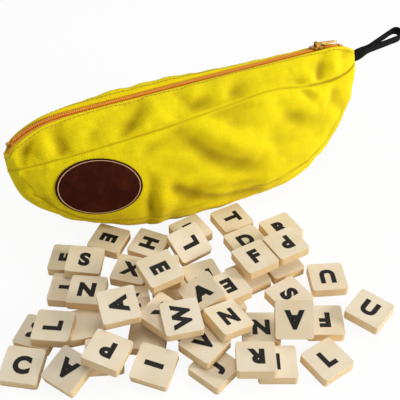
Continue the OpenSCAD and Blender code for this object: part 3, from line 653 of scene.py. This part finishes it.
def cloth_piece(name, p, n, thick, material, uv, painted_shade_and_border):
    """A sheet with thickness and rounded edges under the grid of points p with normals n."""
    columns, rows = p.shape[:2]

    def rim(k, other):
        edge = p[:, k] - p[:, other]
        edge -= n[:, k] * (edge * n[:, k]).sum(-1, keepdims=True)
        edge /= np.maximum(np.linalg.norm(edge, axis=-1, keepdims=True), 1e-9)
        middle = p[:, k] - n[:, k] * thick / 2
        turns = [math.pi * (j + 1) / (RIM_STEPS + 1) for j in range(RIM_STEPS)]
        return [(middle + (n[:, k] * math.cos(a) + edge * math.sin(a)) * thick / 2, k)
                for a in turns]

    # Round each section: over the outer face, the far edge, the inner face and the near edge.
    ring = [(p[:, k], k) for k in range(rows)] + rim(rows - 1, rows - 2)
    ring += [(p[:, k] - n[:, k] * thick, k) for k in reversed(range(rows))] + rim(0, 1)[::-1]
    size, index = len(ring), [k for _, k in ring]
    faces = loft_faces(columns, size)
    for base in (0, (columns - 1) * size):
        faces += [(base + k, base + k + 1, base + rows * 2 + RIM_STEPS - 2 - k,
                   base + rows * 2 + RIM_STEPS - 1 - k) for k in range(rows - 1)]
        faces.append([base + rows - 1 + j for j in range(RIM_STEPS + 2)])
        faces.append([base + size - RIM_STEPS - 1 + j for j in range(RIM_STEPS + 1)] + [base])
    return mesh_piece(name, np.stack([q for q, _ in ring], 1).reshape(-1, 3), faces, material,
                      uv[:, index].reshape(-1, 2), painted_shade_and_border[:, index].reshape(-1))


def row_tree():
    """Small rounded bodies in a row along a line: stitches, or the turns of a zip's coil."""
    tree = bpy.data.node_groups.new("row_along_line", "GeometryNodeTree")
    sockets = {"Geometry": "Geometry", "Pitch": "Float", "Size": "Vector", "Up": "Vector",
               "Jitter": "Float", "Seed": "Int", "Material": "Material"}
    for label, kind in sockets.items():
        tree.interface.new_socket(label, in_out="INPUT", socket_type="NodeSocket" + kind)
    tree.interface.new_socket("Geometry", in_out="OUTPUT", socket_type="NodeSocketGeometry")
    out = add(tree, "NodeGroupInput").outputs
    line = add(tree, "GeometryNodeMeshToCurve", {"Mesh": out["Geometry"]})
    spaced = add(tree, "GeometryNodeResampleCurve", {"Curve": line, "Length": out["Pitch"]},
                 mode="LENGTH")
    along = add(tree, "FunctionNodeAlignRotationToVector",
                {"Vector": add(tree, "GeometryNodeInputTangent")}, axis="X")
    upright = add(tree, "FunctionNodeAlignRotationToVector",
                  {"Rotation": along, "Vector": out["Up"]}, axis="Z", pivot_axis="X")
    body = add(tree, "GeometryNodeMeshUVSphere", {"Segments": 8, "Rings": 5, "Radius": 0.5})
    low, high = (add(tree, "ShaderNodeMath", {0: 1.0, 1: out["Jitter"]}, operation=operation)
                 for operation in ("SUBTRACT", "ADD"))
    wobble = add(tree, "FunctionNodeRandomValue", {2: low, 3: high, "Seed": out["Seed"]},
                 data_type="FLOAT").outputs[1]
    scale = add(tree, "ShaderNodeVectorMath", {0: out["Size"], "Scale": wobble},
                operation="SCALE")
    many = add(tree, "GeometryNodeInstanceOnPoints", {
        "Points": spaced, "Instance": body, "Rotation": upright, "Scale": scale})
    real = add(tree, "GeometryNodeRealizeInstances", {"Geometry": many})
    rounded = add(tree, "GeometryNodeSetShadeSmooth", {"Geometry": real})
    painted = add(tree, "GeometryNodeSetMaterial", {"Geometry": rounded,
                                                    "Material": out["Material"]})
    add(tree, "NodeGroupOutput", {"Geometry": painted})
    return tree


def row_piece(name, lines, tree, **values):
    """Runs the row tree on lines of points in millimetres and keeps the result as a mesh."""
    points, edges = [], []
    for line in lines:
        start = len(points)
        points += [tuple(q) for q in (np.asarray(line) * MM)]
        edges += [(start + i, start + i + 1) for i in range(len(line) - 1)]
    mesh = bpy.data.meshes.new(name)
    mesh.from_pydata(points, edges, [])
    piece = bpy.data.objects.new(name, mesh)
    bpy.context.scene.collection.objects.link(piece)
    modifier = piece.modifiers.new("row", "NODES")
    modifier.node_group = tree
    for item in tree.interface.items_tree:
        if item.item_type == "SOCKET" and item.in_out == "INPUT" and item.name in values:
            modifier[item.identifier] = values[item.name]
    graph = bpy.context.evaluated_depsgraph_get()
    result = bpy.data.meshes.new_from_object(piece.evaluated_get(graph))
    result.name = name
    piece.modifiers.clear()
    piece.data = result
    if not len(result.polygons):
        raise RuntimeError(name + " came out empty")
    return piece


def settle(piece, body, slot, *nodes):
    """The piece rides on its body and stands for the nodes given. Its slot is not used."""
    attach(piece, body)
    if nodes:
        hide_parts(*nodes)


def colour_setting(name, description, code):
    return bpy.props.FloatVectorProperty(name=name, description=description, subtype="COLOR",
                                         min=0, max=1, default=srgb(code)[:3])


def length_setting(name, description, default, low, high):
    """A length, with its default and limits in millimetres."""
    return bpy.props.FloatProperty(name=name, description=description, default=default * MM,
                                   min=low * MM, max=high * MM, unit="LENGTH")


class CaseSettings(bpy.types.PropertyGroup):
    """Sizes and colours that a user would change."""
    weave_spacing: bpy.props.FloatProperty(
        name="Weave spacing", description="Distance between canvas threads in millimetres; real "
        "canvas has 0.6, drawn coarser so that it shows", default=0.85, min=0.4, max=2.0)
    fold_scale: bpy.props.FloatProperty(
        name="Fold depth", description="Factor on the depth of the canvas folds", default=1.5,
        min=0.0, max=2.0, subtype="FACTOR")
    stitch_pitch: length_setting(
        "Stitch pitch", "Distance from one topstitch to the next", 2.7, 1.5, 5)
    tooth_pitch: length_setting(
        "Coil pitch", "Distance from one turn of the zip's coil to the next", 1.25, 1.0, 2.4)
    letter_height: length_setting(
        "Letter height", "Height of the capitals on the tiles", 10.6, 6, 14)
    canvas_colour: colour_setting("Canvas", "Colour of the canvas", "#F5DE08")
    canvas_dull: colour_setting("Canvas, dull", "Duller patches of the canvas", "#D6B80A")
    # Painted shade: the darker colour painted into the canvas's creases and seams.
    canvas_painted_shade: colour_setting("Canvas, creased", "Colour down in the creases", "#9C7E03")
    zip_colour: colour_setting("Zip tape", "Colour of the zip tape", "#FFAE2A")
    coil_colour: colour_setting("Zip coil", "Colour of the zip's coil", "#FFAA26")
    brass_colour: colour_setting("Brass", "Colour of the slider, pull and stops", "#D2A544")
    webbing_colour: colour_setting("Webbing", "Colour of the hand loop", "#0E0D0F")
    patch_colour: colour_setting("Patch", "Colour of the leather patch", "#351003")
    patch_pale: colour_setting("Patch, pale", "Colour where the patch is rubbed", "#4A1B0A")
    ring_colour: colour_setting("Patch ring", "Colour of the thread round the patch", "#E9BE93")
    tile_colour: colour_setting("Tile face", "Colour of the tiles' faces", "#F3E5CB")
    tile_deep: colour_setting("Tile, cloudy", "Cloudier tone in the tiles", "#EAD7B4")
    # Painted shade: the colour painted on the tiles' sides.
    tile_side_shade: colour_setting("Tile side", "Colour of the tiles' sides", "#EFCF96")
    ink_colour: colour_setting("Ink", "Colour of the printed letters", "#0E0C0C")


class CASE_OT_canvas(bpy.types.Operator):
    """Lays the four canvas panels over the case, with their folds and seams"""
    bl_idname = "tile_case.canvas"
    bl_label = "Canvas panels"

    def execute(self, context):
        settings = context.scene.tile_case
        material = canvas_material(settings)
        for back, side in ((False, "front"), (True, "back")):
            for lower, level in ((False, "upper"), (True, "lower")):
                p, n, uv, painted_shade_and_border, _ = panel_surface(back, lower, settings.fold_scale)
                piece = cloth_piece(f"canvas_{side}_{level}", p, n, CANVAS, material, uv, painted_shade_and_border)
                settle(piece, "case", "canvas", f"{side}_{level}_panel")
        return {"FINISHED"}


def row_at_arc(p, n, arc, distance, out):
    """The line on a panel that runs at a distance from its first edge, lifted by out."""
    line = []
    for i in range(len(p)):
        total = arc[i, -1]
        if total < distance * 1.4:
            continue
        k = min(int(np.searchsorted(arc[i], distance)), p.shape[1] - 1)
        a, b = arc[i, k - 1], arc[i, k]
        f = (distance - a) / max(b - a, 1e-6)
        line.append(mix(p[i, k - 1], p[i, k], f) + out * n[i, k])
    return np.array(line)


class CASE_OT_stitching(bpy.types.Operator):
    """Sews the topstitch rows beside the zip"""
    bl_idname = "tile_case.stitching"
    bl_label = "Topstitching"

    def execute(self, context):
        settings = context.scene.tile_case
        thread = thread_material("sewing_thread", srgb("#C79E10"), srgb("#8A6A06"))
        tree = row_tree()
        lines = []
        for back in (False, True):
            p, n, _, _, arc = panel_surface(back, False, settings.fold_scale)
            lines.append(row_at_arc(p, n, arc, HEM_WIDTH - 0.3, 0.06)[6:-6])
        piece = row_piece("zip_topstitch", lines, tree, Pitch=settings.stitch_pitch,
                          Size=(settings.stitch_pitch * 0.8, 0.55 * MM, 0.36 * MM),
                          Up=(0.0, LEAN_SIN, LEAN_COS), Jitter=0.06, Seed=4, Material=thread)
        settle(piece, "case", "canvas")
        return {"FINISHED"}


def tape_surface(back):
    """Outer points of one zip tape, from the slot to under the canvas edge."""
    t = np.linspace(1 / 3, LAST_ROW - 1, (LAST_ROW - 1) * 10 + 1)
    x, c = canvas_curve(t, back, False, CANVAS + 2 * CLOTH_GAP)
    zh = zip_height(x)
    reach = np.maximum(np.linalg.norm(c[:, 3] - c[:, 0], axis=-1), 1)
    edge = c[:, 0]
    flat = [np.stack([mix(CHAIN_SLOT / 2, edge[:, 0], f), mix(zh, edge[:, 1], f)], -1)
            for f in (0, 0.2, 0.4, 0.6, 0.8, 1.0)]
    flat[0][:, 0] = CHAIN_SLOT / 2
    tucked = [np.stack([bezier(c[i], np.minimum(0.28, f * TAPE_TUCK / reach[i] / 1.2))
                        for i in range(len(t))]) for f in (0.5, 1.0)]
    rows = np.stack(flat + tucked, 1)
    xx = np.broadcast_to((x + drawn_in(x))[:, None], rows.shape[:-1])
    p = leaned(xx, (1 if back else -1) * rows[..., 0], rows[..., 1])
    n = grid_normals(p, np.array([0, LEAN_SIN, LEAN_COS]))
    return p, n, np.stack([xx, rows[..., 0] + (50 if back else 0)], -1)


# How far from the case's ends the coil's rows begin and end, and where they lie: beside the slot
# and above the tape.
COIL_LEFT, COIL_RIGHT, COIL_PLACE, COIL_HEIGHT = 9, 12, 1.38, 0.72


class CASE_OT_zip(bpy.types.Operator):
    """Makes the zip's two tapes and the two rows of its coil"""
    bl_idname = "tile_case.zip"
    bl_label = "Zip"

    def execute(self, context):
        settings = context.scene.tile_case
        cloth = zip_cloth_material(settings)
        coil = coil_material(settings)
        tree = row_tree()
        x = np.linspace(COIL_LEFT - CASE_LENGTH / 2, CASE_LENGTH / 2 - COIL_RIGHT, 420)
        for back, side in ((False, "front"), (True, "back")):
            p, n, uv = tape_surface(back)
            piece = cloth_piece(f"zip_cloth_{side}", p, n, TAPE_THICK, cloth, uv,
                                np.zeros(p.shape[:2]))
            settle(piece, "case", "zip_cloth", f"zip_tape_{side}")
            shift = settings.tooth_pitch / MM / 2 if back else 0.0
            line = leaned(x + shift, np.full(x.shape, COIL_PLACE if back else -COIL_PLACE),
                          zip_height(x + shift) + COIL_HEIGHT)
            turns = row_piece(f"zip_coil_{side}", [line], tree, Pitch=settings.tooth_pitch,
                              Size=(settings.tooth_pitch * 0.98, 2.2 * MM, 1.3 * MM),
                              Up=(0.0, LEAN_SIN, LEAN_COS), Jitter=0.0, Seed=2, Material=coil)
            settle(turns, "case", "zip_cloth", f"zip_chain_{side}")
        return {"FINISHED"}


def soften(obj, width):
    """Merges a CAD node's loose triangles and rounds its edges, without touching its mesh."""
    weld = obj.modifiers.new("weld", "WELD")
    weld.merge_threshold = 0.002 * MM
    bevel = obj.modifiers.new("bevel", "BEVEL")
    bevel.width = width
    bevel.segments = 3
    bevel.limit_method = "ANGLE"
    bevel.angle_limit = math.radians(32)


def paint(obj, material):
    obj.data.materials.clear()
    obj.data.materials.append(material)


class CASE_OT_metal(bpy.types.Operator):
    """Finishes the slider, its pull and the zip's stops in brass"""
    bl_idname = "tile_case.metal"
    bl_label = "Slider, pull and stops"

    def execute(self, context):
        brass = brass_material(context.scene.tile_case)
        for name, width in (("zip_slider", 0.22), ("zip_pull", 0.14), ("zip_top_stops", 0.25),
                            ("zip_bottom_stop", 0.25)):
            soften(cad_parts[name], width * MM)
            paint(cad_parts[name], brass)
        return {"FINISHED"}


def webbing_path():
    """Centre line of the webbing from tail to tail, the directions of its face and its width,
    and the loop's root and direction."""
    root_out = STRAP_THICK + 0.3 + STRAP_WIDTH / 2 * math.sin(math.radians(STRAP_RISE))
    root_half = STRAP_THICK / 2 + LEG_GAP
    radius = (STRAP_EYE + STRAP_THICK) / 2
    eye = STRAP_LENGTH - radius - STRAP_THICK / 2
    joined = STRAP_JOINED * STRAP_LENGTH
    slope = (math.asin(radius / math.hypot(eye - joined, root_half))
             - math.atan2(root_half, eye - joined))
    leg = [(a, root_half) for a in np.linspace(-root_out - STRAP_TAIL, joined, 24)]
    end = (eye - radius * math.sin(slope), radius * math.cos(slope))
    leg += [(mix(joined, end[0], f), mix(root_half, end[1], f)) for f in np.linspace(0, 1, 22)[1:]]
    turns = [(math.pi / 2 + slope) * (1 - f) for f in np.linspace(0, 1, 14)[1:]]
    leg += [(eye + radius * math.cos(a), radius * math.sin(a)) for a in turns]
    flat = np.array(leg + [(a, -b) for a, b in leg[-2::-1]])
    for _ in range(6):
        flat[1:-1] = 0.25 * flat[:-2] + 0.5 * flat[1:-1] + 0.25 * flat[2:]
    tangent = np.gradient(flat, axis=0)
    tangent /= np.linalg.norm(tangent, axis=-1, keepdims=True)
    normal = np.stack([-tangent[:, 1], tangent[:, 0]], -1)
    along = flat[:, 0]
    twist = np.radians(STRAP_TWIST) * smooth(0, 0.3 * STRAP_LENGTH, along)
    rise = np.radians(STRAP_RISE) * smooth(-3.0, 3.0, along)
    front = np.array([0.0, -1.0, 0.0])
    up = np.stack([-np.sin(rise), 0 * rise, np.cos(rise)], -1)
    axis = np.stack([np.cos(rise), 0 * rise, np.sin(rise)], -1)
    wide = up * np.cos(twist)[:, None] + front * np.sin(twist)[:, None]
    out = front * np.cos(twist)[:, None] - up * np.sin(twist)[:, None]
    loop = np.array([math.cos(math.radians(STRAP_RISE)), 0, math.sin(math.radians(STRAP_RISE))])
    root = np.array([CASE_LENGTH / 2 + root_out, 0, STRAP_HEIGHT])
    tail = np.array([1.0, 0, 0])
    centre = (root + loop * np.maximum(along, 0)[:, None] + tail * np.minimum(along, 0)[:, None]
              + out * flat[:, 1:])
    face = axis * normal[:, :1] + out * normal[:, 1:]
    return [leaned(*v.T) for v in (centre, face, wide)] + [root, loop]


class CASE_OT_webbing(bpy.types.Operator):
    """Folds the webbing into a hand loop that is sewn into the end seam"""
    bl_idname = "tile_case.webbing"
    bl_label = "Webbing loop"

    def execute(self, context):
        centre, face, wide, root, loop = webbing_path()
        rim = 16
        points, uv = [], []
        step = np.concatenate([[0], np.cumsum(np.linalg.norm(np.diff(centre, axis=0), axis=-1))])
        for i in range(len(centre)):
            for j in range(rim):
                a = 2 * math.pi * j / rim
                across = math.copysign(abs(math.cos(a)) ** 0.35, math.cos(a)) * STRAP_WIDTH / 2
                thick = math.copysign(abs(math.sin(a)) ** 0.6, math.sin(a)) * STRAP_THICK / 2
                points.append(centre[i] + wide[i] * across + face[i] * thick)
                uv.append((step[i], across + STRAP_WIDTH / 2))
        faces = loft_faces(len(centre), rim)
        faces += [list(range(rim)), [(len(centre) - 1) * rim + j for j in range(rim)]]
        material = webbing_material(context.scene.tile_case)
        piece = mesh_piece("webbing_loop", points, faces, material, uv)
        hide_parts("strap_loop", "strap_tail")
        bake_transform(piece)
        return {"FINISHED"}


def front_surface():
    """Lookup from a place on the front lower panel to its point and normal."""
    t = np.linspace(0, LAST_ROW, 600)
    q = np.linspace(0, 1, 160)
    p, xz = canvas_points(t, q, False, True)
    n = grid_normals(p, np.array([0, -1.0, -0.2]))
    xs = xz[:, 0, 0]

    def at(x, z, out):
        i = int(np.clip(np.searchsorted(xs, x), 1, len(xs) - 1))
        f = (x - xs[i - 1]) / (xs[i] - xs[i - 1])
        place = []
        for row in (i - 1, i):
            heights = xz[row, ::-1, 1]
            k = np.interp(z, heights, np.arange(len(heights))[::-1])
            low = int(np.floor(k))
            high = min(low + 1, len(heights) - 1)
            g = k - low
            place.append([mix(v[row, low], v[row, high], g) for v in (p, n)])
        point, normal = (mix(a, b, f) for a, b in zip(*place))
        return point + normal / np.linalg.norm(normal) * out
    return at


def patch_place(at, a, b, out):
    """A point over the patch from its own coordinates, each from -1 to 1."""
    turn = math.radians(PATCH_TURN)
    u, v = a * PATCH_LENGTH / 2, b * PATCH_HEIGHT / 2
    return at(u * math.cos(turn) + v * math.sin(turn) - PATCH_REACH,
              v * math.cos(turn) - u * math.sin(turn) + PATCH_LEVEL, out)


# The thread ring lies at this share of the patch's size, and is about this wide.
RING_SHARE, RING_WIDTH = 0.935, 0.992


class CASE_OT_patch(bpy.types.Operator):
    """Cuts the oval leather patch and lays the thread ring inside its edge"""
    bl_idname = "tile_case.patch"
    bl_label = "Oval patch"

    def execute(self, context):
        settings = context.scene.tile_case
        leather = patch_material(settings)
        thread = thread_material("ring_thread", opaque(settings.ring_colour), srgb("#B98A62"))
        at = front_surface()
        spokes, rings = 96, 22
        top = PATCH_SEAT + PATCH_THICK
        points, painted_shade_and_border = [], []
        shares = [(i / rings) ** 0.9 for i in range(rings + 1)]
        # Across the face, over the rounded edge and down to the canvas.
        profile = [(s * 0.972, top + 0.12 * (1 - s ** 4)) for s in shares[1:]]
        profile += [(0.988, top - 0.07), (0.998, top - 0.24), (1.0, PATCH_SEAT), (0.99, 0.02)]
        points.append(patch_place(at, 0, 0, top + 0.12))
        painted_shade_and_border.append(0)
        for share, out in profile:
            for j in range(spokes):
                a = 2 * math.pi * j / spokes
                points.append(patch_place(at, share * math.cos(a), share * math.sin(a), out))
                painted_shade_and_border.append(0.85 * float(smooth(0.94, 0.965, share)))
        faces = [(0, 1 + j, 1 + (j + 1) % spokes) for j in range(spokes)]
        faces += loft_faces(len(profile), spokes, first=1)
        last = 1 + (len(profile) - 1) * spokes
        faces.append([last + j for j in range(spokes)])
        piece = mesh_piece("leather_patch", points, faces, leather, None, painted_shade_and_border)
        settle(piece, "case", "patch_leather", "patch")
        steps, sides = 140, 8
        ring = []
        for i in range(steps):
            a = 2 * math.pi * i / steps
            for j in range(sides):
                b = 2 * math.pi * j / sides
                share = RING_SHARE + RING_WIDTH * math.cos(b) / (PATCH_LENGTH + PATCH_HEIGHT)
                out = top + 0.1 + 0.16 * math.sin(b)
                ring.append(patch_place(at, share * math.cos(a), share * math.sin(a), out))
        piece = mesh_piece("patch_thread_ring", ring, loft_faces(steps, sides, closed=True), thread)
        settle(piece, "case", "patch_thread", "patch_ring")
        return {"FINISHED"}


# Each tile's turn about the vertical, in degrees, in the order of the nodes.
TILE_TURNS = [
    60, -120, 48, -135, 42, -40, 8, -85, 5, 5, 87, 160, -80, -25, 25, 155, -63, 10, -25, -30,
    -29, 98, 5, 5, 185, 185, 5, -15, -20, 60, 120, -33, 135, 47, 25, 30, 82, 155, 10, 155,
    -85, 78]


def tile_nodes():
    names = sorted(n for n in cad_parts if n.startswith("tile_"))
    return list(zip(names, TILE_TURNS))


def tile_frame(name, turn):
    """Centre of a tile's top face, and its right, up and outward directions."""
    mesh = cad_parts[name].data
    co = np.zeros(len(mesh.vertices) * 3)
    mesh.vertices.foreach_get("co", co)
    co = np.unique(co.reshape(-1, 3).round(7), axis=0)
    middle = (co.min(0) + co.max(0)) / 2
    _, _, axes = np.linalg.svd(co - co.mean(0))
    out = axes[2] if axes[2][2] > 0 else -axes[2]
    thick = ((co - middle) @ out).max()
    tip = Vector((0, 0, 1)).rotation_difference(Vector(out))
    a = math.radians(turn)
    up = np.array(tip @ Vector((-math.sin(a), math.cos(a), 0)))
    right = np.array(tip @ Vector((math.cos(a), math.sin(a), 0)))
    return middle + out * thick, right, up, out


class CASE_OT_tiles(bpy.types.Operator):
    """Finishes the letter tiles in moulded plastic with rounded edges"""
    bl_idname = "tile_case.tiles"
    bl_label = "Letter tiles"

    def execute(self, context):
        material = tile_material(context.scene.tile_case)
        for name in [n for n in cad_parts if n.startswith("tile")]:
            soften(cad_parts[name], 0.5 * MM)
            paint(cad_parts[name], material)
        return {"FINISHED"}


LETTER_LIFT, LETTER_FILM, LETTER_BOLD = 0.02 * MM, 0.05 * MM, 0.06
# Height of a capital of Blender's own font at size 1.
CAPITAL_HEIGHT = 0.729


class CASE_OT_letters(bpy.types.Operator):
    """Prints one capital letter on the face of each tile"""
    bl_idname = "tile_case.letters"
    bl_label = "Printed letters"

    def execute(self, context):
        settings = context.scene.tile_case
        shapes, whole = {}, bmesh.new()
        graph = bpy.context.evaluated_depsgraph_get
        for name, turn in tile_nodes():
            letter = name[-1]
            if letter not in shapes:
                curve = bpy.data.curves.new("letter_" + letter, "FONT")
                curve.body = letter
                curve.size = 1.0
                curve.offset = LETTER_BOLD
                curve.resolution_u = 4
                source = bpy.data.objects.new("letter_" + letter, curve)
                context.scene.collection.objects.link(source)
                flat = bpy.data.meshes.new_from_object(source.evaluated_get(graph()))
                bpy.data.objects.remove(source)
                co = np.zeros(len(flat.vertices) * 3)
                flat.vertices.foreach_get("co", co)
                co = co.reshape(-1, 3)[:, :2]
                tall = CAPITAL_HEIGHT + 2 * LETTER_BOLD
                middle = (co.min(0) + co.max(0)) / 2
                shapes[letter] = ((co - middle) / tall, [tuple(f.vertices) for f in flat.polygons])
            co, faces = shapes[letter]
            origin, right, up, out = tile_frame(name, turn)
            points = (origin + out * (LETTER_LIFT + LETTER_FILM)
                      + settings.letter_height * (co[:, :1] * right + co[:, 1:] * up))
            made = [whole.verts.new(q) for q in points]
            for face in faces:
                whole.faces.new([made[i] for i in face])
        bmesh.ops.remove_doubles(whole, verts=whole.verts, dist=0.001 * MM)
        mesh = bpy.data.meshes.new("tile_letters")
        whole.to_mesh(mesh)
        whole.free()
        mesh.materials.append(ink_material(settings))
        piece = bpy.data.objects.new("tile_letters", mesh)
        context.scene.collection.objects.link(piece)
        settle(piece, "tiles", "tile_plastic")
        return {"FINISHED"}


class CASE_OT_stage(bpy.types.Operator):
    """Sets the pale floor, the soft studio light and the camera"""
    bl_idname = "tile_case.stage"
    bl_label = "Stage"

    def execute(self, context):
        scene = context.scene
        mesh = bpy.data.meshes.new("floor")
        half = 3.0
        mesh.from_pydata([(-half, -half, 0), (half, -half, 0), (half, half, 0), (-half, half, 0)],
                         [], [(0, 1, 2, 3)])
        floor = bpy.data.objects.new("floor", mesh)
        scene.collection.objects.link(floor)
        material, tree, shader = new_material("white_paper")
        feed(tree, shader, {"Base Color": srgb("#F8F8F7"), "Roughness": 0.9})
        glow = add(tree, "ShaderNodeEmission", {"Color": (1, 1, 1, 1), "Strength": 1.0})
        rays = add(tree, "ShaderNodeLightPath")
        seen = add(tree, "ShaderNodeMath", {0: rays.outputs["Is Camera Ray"], 1: FLOOR_GLOW},
                   operation="MULTIPLY")
        both = add(tree, "ShaderNodeMixShader", {0: seen, 1: shader, 2: glow})
        output = [n for n in tree.nodes if n.type == "OUTPUT_MATERIAL"][0]
        feed(tree, output, {"Surface": both})
        mesh.materials.append(material)
        floor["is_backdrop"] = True
        world = bpy.data.worlds.new("studio")
        world.use_nodes = True
        scene.world = world
        tree = world.node_tree
        tree.nodes.clear()
        paths = add(tree, "ShaderNodeLightPath")
        bright = add(tree, "ShaderNodeMath", {
            0: paths.outputs["Is Camera Ray"], 1: paths.outputs["Is Glossy Ray"]},
            operation="MAXIMUM")
        strength = add(tree, "ShaderNodeMapRange", {"Value": bright, "To Min": WORLD_LIGHT})
        sky = add(tree, "ShaderNodeBackground", {"Color": (1, 1, 1, 1), "Strength": strength})
        add(tree, "ShaderNodeOutputWorld", {"Surface": sky})
        for name, place, size, power in STUDIO_LAMPS:
            data = bpy.data.lights.new(name, "AREA")
            data.shape = "DISK"
            data.size = size
            data.energy = power
            lamp = bpy.data.objects.new(name, data)
            lamp.location = place
            lamp.rotation_euler = (LOOK_AT - Vector(place)).to_track_quat("-Z", "Y").to_euler()
            scene.collection.objects.link(lamp)
        data = bpy.data.cameras.new("camera")
        data.lens, data.sensor_width = CAMERA_LENS, 36.0
        data.clip_start, data.clip_end = 0.02, 20.0
        camera = bpy.data.objects.new("camera", data)
        azimuth, elevation = math.radians(CAMERA_TURN), math.radians(CAMERA_RISE)
        away = Vector((math.sin(azimuth) * math.cos(elevation),
                       -math.cos(azimuth) * math.cos(elevation), math.sin(elevation)))
        camera.location = LOOK_AT + away * CAMERA_AWAY
        camera.rotation_euler = (-away).to_track_quat("-Z", "Y").to_euler()
        scene.collection.objects.link(camera)
        scene.camera = camera
        scene.view_settings.view_transform = "Standard"
        return {"FINISHED"}


LOOK_AT = Vector((-0.006, -0.004, 0.010))
# The camera's degrees round the case and above it, its distance in metres and its lens.
CAMERA_TURN, CAMERA_RISE, CAMERA_AWAY, CAMERA_LENS = -25, 42, 0.48, 70.2
WORLD_LIGHT = 0.36
FLOOR_GLOW = 0.92
STUDIO_LAMPS = [
    ("key", (0.78, -0.66, 0.46), 0.30, 7.6),
    ("top", (0.15, 0.10, 0.95), 0.5, 2.4),
]


class CASE_PT_panel(bpy.types.Panel):
    """Lists the steps that dress the case"""
    bl_label = "Tile case"
    bl_idname = "CASE_PT_panel"
    bl_space_type = "VIEW_3D"
    bl_region_type = "UI"
    bl_category = "Tile case"

    def draw(self, context):
        for step in STEPS:
            self.layout.operator(step.bl_idname)
        for key in CaseSettings.__annotations__:
            self.layout.prop(context.scene.tile_case, key)


STEPS = (CASE_OT_canvas, CASE_OT_stitching, CASE_OT_zip, CASE_OT_metal, CASE_OT_webbing,
         CASE_OT_patch, CASE_OT_tiles, CASE_OT_letters, CASE_OT_stage)
CLASSES = (CaseSettings,) + STEPS + (CASE_PT_panel,)


def register():
    for each in CLASSES:
        bpy.utils.register_class(each)
    bpy.types.Scene.tile_case = bpy.props.PointerProperty(type=CaseSettings)


def unregister():
    del bpy.types.Scene.tile_case
    for each in reversed(CLASSES):
        bpy.utils.unregister_class(each)


def main():
    register()
    for step in STEPS:
        group, name = step.bl_idname.split(".")
        getattr(getattr(bpy.ops, group), name)()
    plain = lambda box: [[round(float(v), 6) for v in corner] for corner in box]
    {"cad": plain(CAD_BOX), "visual": plain(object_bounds())}


if __name__ == "__main__":
    main()
